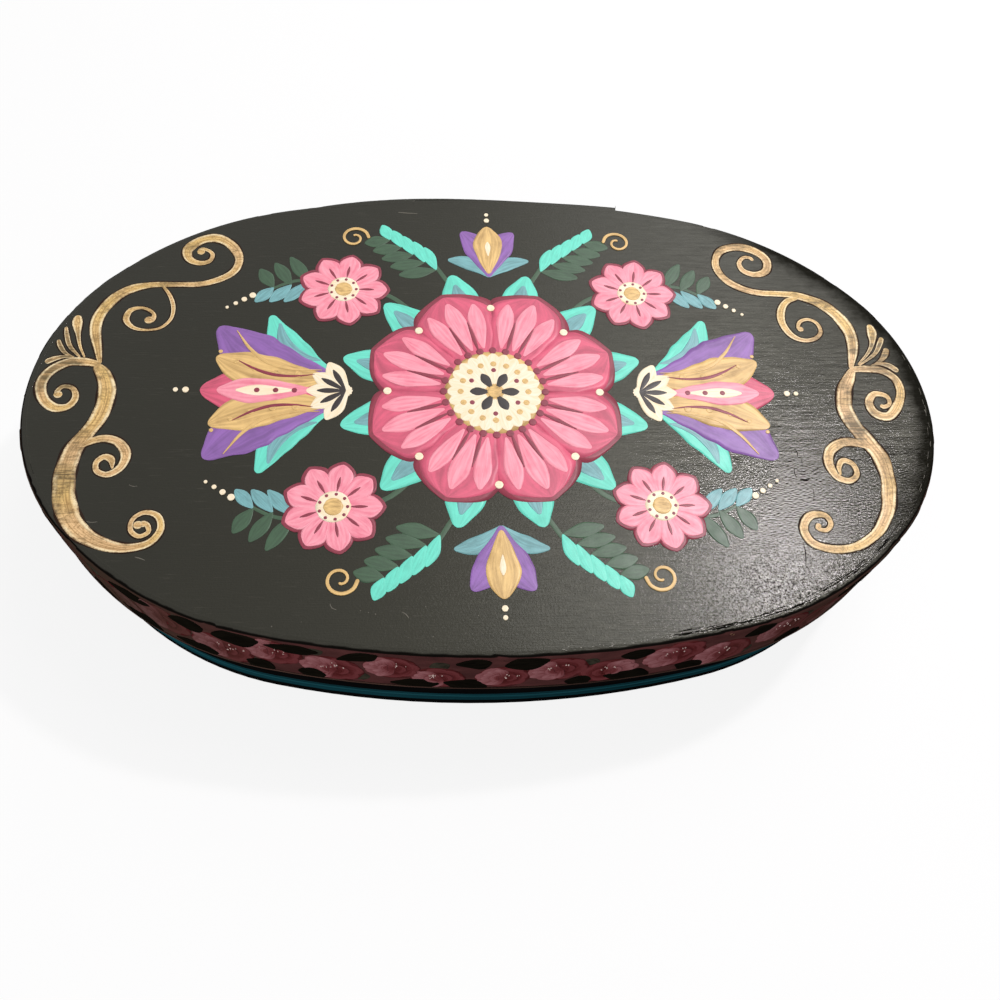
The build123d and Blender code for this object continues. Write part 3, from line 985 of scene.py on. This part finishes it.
def scroll_dots(gold):
    """Dots that end the scrolls' curls."""
    coat = Coat("scroll_dots", gold, "lid", on_lid, 2, GOLD_FILM)
    for dots, turn in ((LEFT_DOTS, -1), (RIGHT_DOTS, 1)):
        for x, y, width in fitted(dots, turn):
            coat.dab(x, y, width / 2)
    coat.build()


# Flower spray in the middle of the lid, in millimetres and degrees

SPRAY_Y = 2
BUDS = ((68, 90), (-64, -90))

# Blossom: counts of petals, radii of its middle, and dots as radius, count, size and first direction, or
# as radius and size between the petals
BLOSSOM_COUNT = 8
BLOSSOM_LEAF_COUNT = 12
EYE_COUNT = 24
EYE_RADIUS = 22
EYE_RIM_RING = (22.5, 24, 1.7)
EYE_RING = (15, 16, 1.4)
HEART_COUNT = 6
HEART_RADIUS = 3.2
HEART_RING = (11.6, 6, 1.1, 30)
GAP_DOTS = (47, 1.8)

# Rows of dots: first place, step, count, size, and how much smaller each is than the last
TULIP_THROAT_DOTS = (22, 8, 3, 1.2, 0)
TULIP_TIP_DOTS = (68, 4.2, 2, 1.4, 0.35)
BUD_DOTS = (36, 3.8, 2, 1.3, 0.3)

# Tulip: its place, its feet, and the bowed rows of dots on its sides
TULIP_X = 65
TULIP_FOOT = (2, 6)
BOW_TILT = 27
BOW_DOTS = 5
BOW_ALONG = (18, 9)
BOW_ASIDE = -13
BOW_SHAPE = (0.5, 0.4)
BOW_SIZES = (1.7, 0.2)

# Daisy, with the tendril and the falling dots beside it
DAISY_PLACE = (68, 57)
DAISY_COUNT = 9
DAISY_EYE = 7.2
DAISY_HEART = 4.0
DAISY_RING = (5.8, 9, 0.7)
FALLING_DOTS = 4
FALLING_PLACE = (109, 52.5)
FALLING_STEP = (3.6, -2.4)
FALLING_SIZES = (1.5, 0.25)
TENDRIL_PLACE = (64, 89)
TENDRIL_RADIUS = 7.0
TENDRIL_WIDTH = 1.5
SPIRAL_STEPS = 12
SPIRAL_DEGREES = 470
SPIRAL_CLOSES = 0.78
SPIRAL_THINS = 0.35

# Coats from the lowest to the highest, and the paints of those that aren't named after theirs
SPRAY_COATS = (
    "stems", "leaves", "turquoise", "dusty_teal", "violet", "maroon", "raspberry", "ochre", "pink",
    "cream", "ink", "fine_ochre", "fine_maroon", "fine_cream",
)
SPRAY_PAINTS = {
    "stems": "green", "leaves": "green",
    "fine_ochre": "ochre", "fine_maroon": "maroon", "fine_cream": "cream",
}

# Petals and leaves: coat, tilt, near and far end, width, share of the length where widest, and bend
BLOSSOM_LEAVES = (("turquoise", 0, 26, 69, 19, 0.5, 0), ("dusty_teal", 0, 38, 63, 8, 0.5, 0))
BLOSSOM_PETALS = (
    ("maroon", 0, 10, 59, 39, 0.7, 0), ("raspberry", 0, 10, 57, 35, 0.7, 0),
    ("pink", -13, 24, 50, 8, 0.6, 0), ("pink", 13, 24, 50, 8, 0.6, 0), ("pink", 0, 24, 53, 9, 0.6, 0),
    ("fine_maroon", -6.5, 22, 40, 1.6, 0.4, 0), ("fine_maroon", 6.5, 22, 40, 1.6, 0.4, 0),
)
BLOSSOM_EYE = (("cream", 0, 4, 21, 7.2, 0.7, 0),)
BLOSSOM_HEART = (("ink", 0, 2, 11, 4.4, 0.6, 0),)
TULIP_SIDE = (
    ("turquoise", 47, 2, 48, 15, 0.5, -6), ("dusty_teal", 47, 14, 42, 6, 0.5, -6),
    ("violet", 27, 0, 62, 25, 0.55, -7), ("ochre", 12, 4, 56, 19, 0.6, -4),
)
TULIP_LINES = (("fine_ochre", 29, 10, 54, 1.8, 0.5, -8), ("fine_maroon", 12, 12, 46, 1.5, 0.5, -4))
TULIP_MIDDLE = (
    ("raspberry", 0, 4, 62, 25, 0.6, 0), ("pink", 0, 14, 55, 13, 0.6, 0),
    ("cream", 0, 22, 47, 5.5, 0.6, 0),
)
TULIP_CUP = (("cream", 0, -3, 17, 8, 0.6, 0), ("ink", 0, 0, 12.5, 2.7, 0.6, 0))
TULIP_CUP_TILTS = (-62, -31, 0, 31, 62)
DAISY_PETALS = (
    ("maroon", 0, 3, 21.5, 12.5, 0.65, 0), ("pink", 0, 3, 20, 10.6, 0.65, 0),
    ("fine_maroon", 0, 7, 14, 1.3, 0.5, 0),
)
BUD_SIDE = (("violet", 24, 0, 31, 14, 0.55, -3), ("dusty_teal", 62, 0, 22, 8, 0.5, -3))
BUD_MIDDLE = (
    ("ochre", 0, 2, 32, 14, 0.6, 0), ("maroon", 0, 8, 26, 6, 0.6, 0), ("cream", 0, 13, 22, 2.6, 0.6, 0),
)

# Stems of a quarter of the spray: x and y from its middle, and width
STEMS = (
    ((32, 40, 2.4), (48, 54, 2.2), (68, 57, 1.8)),
    ((18, 60, 2.2), (30, 78, 2.0), (48, 90, 1.2)),
    ((68, 57, 1.8), (88, 62, 1.8), (106, 54, 1.2)),
)
# Twigs: count of leaf pairs, first foot, step to the next, and both leaves of a pair, as coat, tilt,
# length, how much shorter the next one is, and width
TWIGS = (
    (5, (25, 70), (5.5, 4.6), (("leaves", -12, 18, 1.4, 7), ("turquoise", 68, 15, 1.2, 6))),
    (3, (84, 61), (8, -1.8), (("leaves", 58, 18, 2.4, 6.5), ("dusty_teal", -48, 16, 2.2, 6))),
)


def turned(x, y, degrees, along, side=0):
    """A place a distance along and beside a direction from a point."""
    cosine, sine = math.cos(math.radians(degrees)), math.sin(math.radians(degrees))
    return x + along * cosine - side * sine, y + along * sine + side * cosine


def petal(coat, x, y, degrees, near, far, width, fat, bend=0.0):
    """A petal or leaf that points away from a place: narrow at its foot, widest at the fat share."""
    length = far - near
    knots = []
    for share, wide in ((0.0, 0.12), (fat * 0.45, 0.62), (fat, 1.0), (0.5 + fat / 2, 0.82), (1.0, 0.18)):
        sway = bend * math.sin(math.pi * share)
        knots.append((*turned(x, y, degrees, near + share * length, sway), wide * width))
    coat.stroke(knots)


def fan(coats, x, y, facing, petals, side=1):
    """Petals and leaves from one place, tilted and bent to a side."""
    for name, tilt, near, far, width, fat, bend in petals:
        petal(coats[name], x, y, facing + tilt * side, near, far, width, fat, bend * side)


def wheel(coats, x, y, count, petals, start=0):
    """Fans all round a place."""
    for i in range(count):
        fan(coats, x, y, start + 360 / count * i, petals)


def ring(coat, x, y, radius, count, size, start=0.0):
    """Dots on a circle."""
    for i in range(count):
        coat.dab(*turned(x, y, start + 360 * i / count, radius), size)


def trail(coat, x, y, degrees, first, step, count, size, less):
    """Dots in a straight row, each smaller than the last."""
    for i in range(count):
        coat.dab(*turned(x, y, degrees, first + step * i), size - less * i)


def spiral(coat, x, y, radius, degrees, turn, width):
    """A tendril that curls in from a place on its rim."""
    knots = []
    for i in range(SPIRAL_STEPS + 1):
        share = i / SPIRAL_STEPS
        reach = radius * (1 - SPIRAL_CLOSES * share)
        place = turned(x, y, degrees + turn * SPIRAL_DEGREES * share, reach)
        knots.append((*place, width * (1.0 - SPIRAL_THINS * share)))
    coat.stroke(knots)


def spray(paints):
    """A big blossom between two tulips, with daisies, leaves, buds and tendrils round it."""
    coats = {}
    for level, name in enumerate(SPRAY_COATS):
        colour = paints[SPRAY_PAINTS.get(name, name)]
        coats[name] = Coat("spray_" + name, colour, "lid", on_lid, level)
    blossom(coats, 0, SPRAY_Y)
    for side, facing in ((-1, 180), (1, 0)):
        tulip(coats, side * TULIP_X, SPRAY_Y, facing)
        for up in (-1, 1):
            corner(coats, side, up, facing)
    for y, facing in BUDS:
        bud(coats, 0, y, facing)
    build_all(coats)


def blossom(coats, x, y):
    """The big round flower."""
    wheel(coats, x, y, BLOSSOM_LEAF_COUNT, BLOSSOM_LEAVES, 180 / BLOSSOM_LEAF_COUNT)
    half_step = 180 / BLOSSOM_COUNT
    for i in range(BLOSSOM_COUNT):
        angle = half_step * (2 * i + 1)
        fan(coats, x, y, angle, BLOSSOM_PETALS)
        ring(coats["fine_cream"], x, y, GAP_DOTS[0], 1, GAP_DOTS[1], angle + half_step)
    ring(coats["fine_maroon"], x, y, *EYE_RIM_RING)
    wheel(coats, x, y, EYE_COUNT, BLOSSOM_EYE)
    coats["ochre"].dab(x, y, EYE_RADIUS)
    ring(coats["fine_ochre"], x, y, *EYE_RING)
    wheel(coats, x, y, HEART_COUNT, BLOSSOM_HEART)
    ring(coats["fine_maroon"], x, y, *HEART_RING)
    coats["fine_ochre"].dab(x, y, HEART_RADIUS)


def tulip(coats, x, y, facing):
    """A tulip that opens away from the middle."""
    for side in (-1, 1):
        foot = turned(x, y, facing, TULIP_FOOT[0], TULIP_FOOT[1] * side)
        fan(coats, *foot, facing, TULIP_SIDE, side)
        for i in range(BOW_DOTS):
            along = BOW_ALONG[0] + BOW_ALONG[1] * i
            aside = BOW_ASIDE * side * math.sin(BOW_SHAPE[0] + BOW_SHAPE[1] * i)
            place = turned(*foot, facing + BOW_TILT * side, along, aside)
            coats["fine_ochre"].dab(*place, BOW_SIZES[0] - BOW_SIZES[1] * i)
        fan(coats, *foot, facing, TULIP_LINES, side)
    fan(coats, x, y, facing, TULIP_MIDDLE)
    trail(coats["fine_maroon"], x, y, facing, *TULIP_THROAT_DOTS)
    for tilt in TULIP_CUP_TILTS:
        fan(coats, x, y, facing + tilt, TULIP_CUP)
    trail(coats["fine_cream"], x, y, facing, *TULIP_TIP_DOTS)


def corner(coats, side, up, facing):
    """A daisy with its stem, leaves and tendrils, in one quarter of the spray."""

    def spot(x, y):
        return side * x, up * y + SPRAY_Y

    daisy = spot(*DAISY_PLACE)
    for knots in STEMS:
        coats["stems"].stroke([(*spot(x, y), width) for x, y, width in knots])
    for count, foot, step, leaves in TWIGS:
        for i in range(count):
            place = spot(foot[0] + step[0] * i, foot[1] + step[1] * i)
            for name, tilt, length, less, width in leaves:
                petal(coats[name], *place, facing + side * up * tilt, 0, length - less * i, width, 0.5)
    wheel(coats, *daisy, DAISY_COUNT, DAISY_PETALS)
    coats["cream"].dab(*daisy, DAISY_EYE)
    coats["fine_ochre"].dab(*daisy, DAISY_HEART)
    ring(coats["fine_maroon"], *daisy, *DAISY_RING)
    tendril = spot(*TENDRIL_PLACE)
    spiral(coats["fine_ochre"], *tendril, TENDRIL_RADIUS, 180 - facing, -side * up, TENDRIL_WIDTH)
    for i in range(FALLING_DOTS):
        place = spot(*(first + step * i for first, step in zip(FALLING_PLACE, FALLING_STEP)))
        coats["fine_cream"].dab(*place, FALLING_SIZES[0] - FALLING_SIZES[1] * i)


def bud(coats, x, y, facing):
    """A closed flower above or below the blossom."""
    for side in (-1, 1):
        fan(coats, x, y, facing, BUD_SIDE, side)
    fan(coats, x, y, facing, BUD_MIDDLE)
    trail(coats["fine_cream"], x, y, facing, *BUD_DOTS)


# Roses round the rim, in millimetres and degrees

ROSE_PITCH = 27.0
PITCH_SWAY = 0.15
ROSE_SIZE = 15.5
ROSE_SIZES = (0.88, 1.08)
ROSE_STAGGER = 4.5
ROSE_SWAY = 1.5
ROSE_TILT = 25
ROSE_HEART = 0.94
MIRRORED_SHARE = 0.3
RIM_SPACING = 1.8
RIM_LEVEL = 1.4

# Fan of strokes on a rose's pale side: count, directions, and foot, reach and width as shares of its size
FAN_COUNT = 6
FAN_FIRST = 120
FAN_STEP = 26
FAN_FOOT = -0.15
FAN_REACH = (0.7, 1.0)
FAN_WIDTH = 0.62
FAN_FAT = 0.7

# Pale dots on the roses, within a length either way of the box's middle: their number, direction and
# distance from the rose's middle, scatter along and up, and half length and half height
DOTTED_LENGTH = 125.0
DOT_COUNTS = (4, 12)
DOT_WAYS = (40, 110)
DOT_REACH = 0.3
DOT_SCATTER = (0.2, 0.12)
DOT_SIZES = ((0.18, 0.42), (0.3, 0.75))

# Coats from the lowest to the highest, their paints, and how uneven their edges are
RIM_COATS = (
    ("grey_leaves", "leaf_grey", 0.05), ("rose_hearts", "rose_deep", 0.04),
    ("rose_petals", "rose_petal", 0.1), ("rose_dark_petals", "rose_dark_petal", 0.1),
    ("rose_fans", "rose_fan", 0.1), ("leaves", "leaf_dark", 0.06),
    ("rose_throats", "rose_dark_petal", 0.1), ("rose_bowls", "rose_petal", 0.1),
    ("dots", "dot_pale", 0.0),
)

# Curved strokes of a rose: coat, count, first direction, step to the next, radius, sweep and width,
# with radius and width as shares of the rose's size
OUTER_ARCS = (
    ("rose_dark_petals", 4, -75, 50, 0.62, 64, 0.6), ("rose_petals", 3, 140, 45, 0.66, 62, 0.6),
)
INNER_ARCS = (("rose_throats", 1, 10, 0, 0.34, 120, 0.34), ("rose_bowls", 1, 190, 0, 0.3, 130, 0.36))
ARC_WIDTHS = ((0.0, 0.35), (0.25, 0.85), (0.5, 1.0), (0.75, 0.85), (1.0, 0.35))

# Leaves between the roses: share that come in pairs, and ranges of half length, lean, width and fat share
PAIRED_SHARE = 0.35
LEAF_STAGGER = 13.5
LEAF_SHIFT = 4
LEAF_HALF = (6.5, 13)
LEAF_LEAN = (-30, 8)
LEAF_WIDTH = (10, 17)
LEAF_FAT = (0.3, 0.7)
GREY_SHIFT = 10
GREY_RAISE = (9, 15)
GREY_LEAN = 40
GREY_HALF = 5
GREY_WIDTH = (7, 11)


def about(reach):
    """A number as far as reach from nought, either way."""
    return dice.uniform(-reach, reach)


def rose_band(paints):
    """Staggered roses with leaves and dots, right round the rim."""
    coats = {}
    for level, (name, colour, wobble) in enumerate(RIM_COATS):
        traits = {"spacing": RIM_SPACING, "wobble": wobble}
        coats[name] = Coat("rim_" + name, paints[colour], "lid", on_roses, RIM_LEVEL * level, **traits)
    strip = rim_oval.length / ROSE_SQUEEZE
    count = round(strip / ROSE_PITCH)
    pitch = strip / count
    middle = (rim_low + rim_high) / 2
    for i in range(count):
        run = (i + about(PITCH_SWAY)) * pitch
        up = 1 if i % 2 else -1
        rim_leaves(coats, run + pitch / 2, middle, up)
        rose(coats, run, middle + up * ROSE_STAGGER + about(ROSE_SWAY))
    build_all(coats)


def rim_leaves(coats, run, middle, up):
    """Broad dark leaves between two roses, and a small grey one beside them."""
    for side in (up, -up) if dice.random() < PAIRED_SHARE else (up,):
        half = dice.uniform(*LEAF_HALF)
        place = run + about(LEAF_SHIFT), middle - side * LEAF_STAGGER
        lean = side * dice.uniform(*LEAF_LEAN)
        width = dice.uniform(*LEAF_WIDTH)
        petal(coats["leaves"], *place, lean, -half, half, width, dice.uniform(*LEAF_FAT))
    place = run + about(GREY_SHIFT), middle + up * dice.uniform(*GREY_RAISE)
    lean = about(GREY_LEAN)
    petal(coats["grey_leaves"], *place, lean, -GREY_HALF, GREY_HALF, dice.uniform(*GREY_WIDTH), 0.5)


def rose(coats, run, z):
    """A loose rose: broad pale strokes on one side, deep red on the other, and dots where they meet."""
    size = ROSE_SIZE * dice.uniform(*ROSE_SIZES)
    tilt = about(ROSE_TILT)
    mirrored = dice.random() < MIRRORED_SHARE

    def way(degrees):
        return tilt + (180 - degrees if mirrored else degrees)

    def arcs(rows):
        for name, count, first, step, radius, sweep, width in rows:
            for k in range(count):
                arc(coats[name], run, z, radius * size, way(first + step * k), sweep, width * size)

    coats["rose_hearts"].dab(run, z, ROSE_HEART * size)
    arcs(OUTER_ARCS)
    for k in range(FAN_COUNT):
        reach = dice.uniform(*FAN_REACH) * size
        toward = way(FAN_FIRST + FAN_STEP * k)
        petal(coats["rose_fans"], run, z, toward, FAN_FOOT * size, reach, FAN_WIDTH * size, FAN_FAT)
    arcs(INNER_ARCS)
    if abs(rim_oval.at(run * ROSE_SQUEEZE)[0].x) > DOTTED_LENGTH:
        return
    heart = turned(run, z, way(dice.uniform(*DOT_WAYS)), DOT_REACH * size)
    for _ in range(dice.randrange(*DOT_COUNTS)):
        place = [middle + dice.gauss(0, scatter) * size for middle, scatter in zip(heart, DOT_SCATTER)]
        coats["dots"].dab(*place, *(dice.uniform(*sizes) for sizes in DOT_SIZES))


def arc(coat, x, y, radius, middle, sweep, width):
    """A C-shaped stroke round a place, its pale side outwards."""
    knots = []
    for share, wide in ARC_WIDTHS:
        knots.append((*turned(x, y, middle + sweep * (0.5 - share), radius), wide * width))
    coat.stroke(knots)


# Stripes right round: name, paint, body, surface, oval, level, wobble, height and width in millimetres
STRIPES = (
    ("rim_line", "rim_line", "lid", on_rim, rim_oval, 12, 0.08, rim_low + 1.2, 1.9),
    ("base_stripe", "teal", "base", on_base, base_oval, 0, 0.012, STRIPE_HEIGHT, STRIPE_WIDTH),
    ("base_stripe_light", "teal_light", "base", on_base, base_oval, 1, 0.05, STRIPE_HEIGHT + 1.2, 2.0),
)


def stripes(paints):
    """The thin line under the rim's roses and the teal stripe of the base."""
    for name, colour, body, surface, oval, level, wobble, height, width in STRIPES:
        coat = Coat(name, paints[colour], body, surface, level, wobble=wobble)
        coat.hoop(oval, height, width)
        coat.build()


# Wear: scuffs and cracks along the seam, a cracked knot, and a few scratches and specks; and glints along
# the seam, which are painted highlights

SCRATCHES = (
    ((-43.0, 110.2, 0.25), (-38.0, 109.8, 0.45), (-33.5, 109.6, 0.25)),
    ((-150.4, -44.6, 0.2), (-148.8, -45.3, 0.3), (-147.0, -45.2, 0.2)),
    ((-164.4, -61.2, 0.2), (-162.6, -61.7, 0.3), (-160.2, -61.4, 0.2)),
    ((-143.6, -77.0, 0.2), (-141.8, -77.5, 0.35), (-139.6, -78.4, 0.2)),
    ((-67.4, -97.6, 0.2), (-66.7, -99.3, 0.3), (-64.8, -100.2, 0.2)),
    ((-39.6, -101.4, 0.2), (-37.9, -102.6, 0.35), (-37.0, -104.0, 0.2)),
)
CRACKS = (
    ((131.0, -37.4, 0.2), (133.2, -38.6, 0.45), (136.8, -37.6, 0.25)),
    ((131.4, -39.6, 0.2), (133.6, -40.2, 0.4), (136.0, -39.4, 0.2)),
    ((131.7, -42.4, 0.3), (134.1, -42.9, 0.8), (136.4, -42.0, 0.4)),
    ((130.2, -37.0, 0.25), (129.9, -39.4, 0.4), (130.4, -41.8, 0.2)),
    ((137.4, -38.8, 0.2), (140.2, -37.4, 0.4), (144.3, -35.4, 0.2)),
    ((138.2, -40.0, 0.2), (140.6, -39.0, 0.35), (142.0, -38.6, 0.2)),
    ((132.4, -26.8, 0.2), (133.2, -29.0, 0.4), (133.0, -31.0, 0.2)),
    ((134.6, -32.0, 0.2), (134.3, -34.2, 0.35), (134.0, -36.2, 0.2)),
    ((136.6, -47.4, 0.15), (136.4, -50.0, 0.3), (135.6, -53.2, 0.15)),
    ((127.1, -73.2, 0.2), (126.8, -79.0, 0.45), (125.9, -84.0, 0.2)),
)

# Short lines beside the seam: count, and ranges of the place as a share of the way round from the middle
# of the front, the length, the distance outwards from the seam, and the width
SCUFF_LINES = (32, (0.12, 0.28), (0.8, 4.0), (-0.5, 0.7), (0.1, 0.22))
CRACK_LINES = (30, (0.06, 0.17), (3.0, 14.0), (-1.6, 0.7), (0.2, 0.55))
GLINT_LINES = (76, (0.02, 0.16), (0.3, 1.4), (-0.7, 1.3), (0.07, 0.19))
WORN_INSET = 3.4
LINE_SWAY = 0.12

# Specks at the front: count, and ranges of x, y and radius
SPECKS = 26
SPECK_RANGES = ((-90, 60), (-112, -98), (0.1, 0.24))

# Stretches of the seam that paint has filled, as shares of the way round from the middle of the front
FILLED_SHARES = ((-0.21, 0.06), (0.285, 0.41), (0.415, 0.57), (0.575, 0.785))
SEAM_INSET = 3.08
SEAM_STEP = 8.0
FILLED_WIDTH = 0.85


def wear_coat(name, material, wobble):
    """A coat for fine marks on the lid."""
    return Coat(name, material, "lid", on_lid, 0, WEAR_FILM, spacing=0.8, wobble=wobble)


def seam_lines(coat, count, place, length, shift, width):
    """Short lines beside the seam, each of their numbers drawn from a range."""
    seam = Oval(WORN_INSET)
    for _ in range(count):
        run = dice.uniform(*place) * seam.length
        reach = dice.uniform(*length)
        aside = dice.uniform(*shift)
        knots = []
        for share in (0, 0.5, 1):
            point, way = seam.at(run + share * reach)
            point = point + way * (aside + about(LINE_SWAY))
            knots.append((point.x, point.y, dice.uniform(*width)))
        coat.stroke(knots)


def wear(scuff, crack):
    """Short pale scuffs and specks, and dark cracks, on the lid."""
    scuffs = wear_coat("lid_scuffs", scuff, 0.12)
    seam_lines(scuffs, *SCUFF_LINES)
    for knots in SCRATCHES:
        scuffs.stroke(fitted(knots))
    for _ in range(SPECKS):
        scuffs.dab(*(dice.uniform(*reach) for reach in SPECK_RANGES))
    scuffs.build()
    cracks = wear_coat("lid_cracks", crack, 0.14)
    for knots in CRACKS:
        cracks.stroke(fitted(knots))
    seam_lines(cracks, *CRACK_LINES)
    cracks.build()


def glints(pale):
    """Pale specks along the front of the seam, painted highlights where raised paint catches the light.
    """
    coat = wear_coat("lid_glints", pale, 0.12)
    seam_lines(coat, *GLINT_LINES)
    coat.build()


def filled_seam(material):
    """Paint of the lid that bridges the seam between the board and the rim."""
    coat = Coat("lid_seam_paint", material, "lid", on_lid, 0, SEAM_FILM, spacing=2.0, wobble=0.04)
    seam = Oval(SEAM_INSET)
    for start, stop in FILLED_SHARES:
        count = round((stop - start) * seam.length / SEAM_STEP)
        runs = np.linspace(start, stop, count) * seam.length
        coat.stroke([(*seam.at(run)[0].xy, FILLED_WIDTH) for run in runs])
    coat.build()


# Stage


def seen_ray(tree):
    """One on rays that the camera, a shine or a glass sees, nought on those that only bring light."""
    total = tree.add("LightPath", output="Is Camera Ray")
    for ray in ("Is Glossy Ray", "Is Transmission Ray"):
        total = tree.math("MAXIMUM", total, tree.add("LightPath", output=ray))
    return total


def paper_floor():
    """A floor that looks white but gives the sides of the box less light back than white paper would."""
    mesh = bpy.data.meshes.new("floor")
    corners = [(FLOOR_HALF * x, FLOOR_HALF * y, 0) for x, y in ((-1, -1), (1, -1), (1, 1), (-1, 1))]
    mesh.from_pydata(corners, [], [(0, 1, 2, 3)])
    floor = show("floor", mesh)
    paper = bpy.data.materials.new("floor_paper")
    tree = Tree(paper)
    tree.nodes.clear()
    pale = tree.add("MixShader", FLOOR_GLOW, tree.add("BsdfDiffuse", FLOOR_PALE), tree.add("Emission"))
    seen = tree.add("MixShader", seen_ray(tree), tree.add("BsdfDiffuse", FLOOR_DIM), pale)
    tree.put(tree.nodes.new("ShaderNodeOutputMaterial").inputs["Surface"], seen)
    mesh.materials.append(paper)


def sky():
    """A world that looks white and gives a softer light."""
    world = bpy.data.worlds.new("studio")
    tree = Tree(world)
    background = tree.nodes["Background"]
    background.inputs["Color"].default_value = (*WHITE, 1.0)
    tree.put(background.inputs["Strength"], tree.span(seen_ray(tree), 0.0, 1.0, WORLD_LIGHT, 1.0))
    bpy.context.scene.world = world


def turn_towards(place, aim):
    """The turn that points a lamp or a camera from a place to an aim."""
    return (Vector(aim) - Vector(place)).normalized().to_track_quat("-Z", "Y")


def lamp(name, place, aim, size, power, colour, shows):
    """A square soft light aimed at a point, which shines in gloss too if it shows."""
    data = bpy.data.lights.new(name, "AREA")
    data.size = size
    data.energy = power
    data.color = colour
    light = show(name, data)
    light.visible_glossy = shows
    light.location = place
    light.rotation_mode = "QUATERNION"
    light.rotation_quaternion = turn_towards(place, aim)


def camera():
    """The photograph's camera."""
    view = show("camera", bpy.data.cameras.new("camera"))
    view.data.sensor_width = SENSOR_MM
    view.data.lens = FOCAL_SHARE * SENSOR_MM
    turn = turn_towards(CAMERA_PLACE, CAMERA_AIM).to_matrix().to_4x4()
    roll = Matrix.Rotation(math.radians(CAMERA_ROLL_DEGREES), 4, "Z")
    view.matrix_world = Matrix.Translation(Vector(CAMERA_PLACE)) @ turn @ roll
    bpy.context.scene.camera = view


def stage():
    """Pale floor, soft light and the photograph's camera."""
    paper_floor()
    sky()
    for row in LAMPS:
        lamp(*row)
    camera()
    bpy.context.scene.view_settings.view_transform = "Standard"


# The whole object

paints = paint_box()
gold = gold_paint()
lid_finish = lid_board_material()
finish(lid_finish, "lid_board")
finish(rim_material(), "lid_band", "lid_board_pegs", "lid_lap_tacks")
finish(base_material(), "base_band", "bottom_board_pegs", "base_lap_tacks")
finish(bottom_board_material(), "bottom_board")
scrolls(gold, paint("umber", UMBER, roughness=0.6, specular=0.1))
spray(paints)
rose_band(paints)
stripes(paints)
wear(paint("scuff", SCUFF, specular=0.1), paint("crack", CRACK, roughness=0.7, specular=0.0))
filled_seam(lid_finish)
scroll_dots(gold)
glints(paint("glint", GLINT, specular=0.1))
stage()
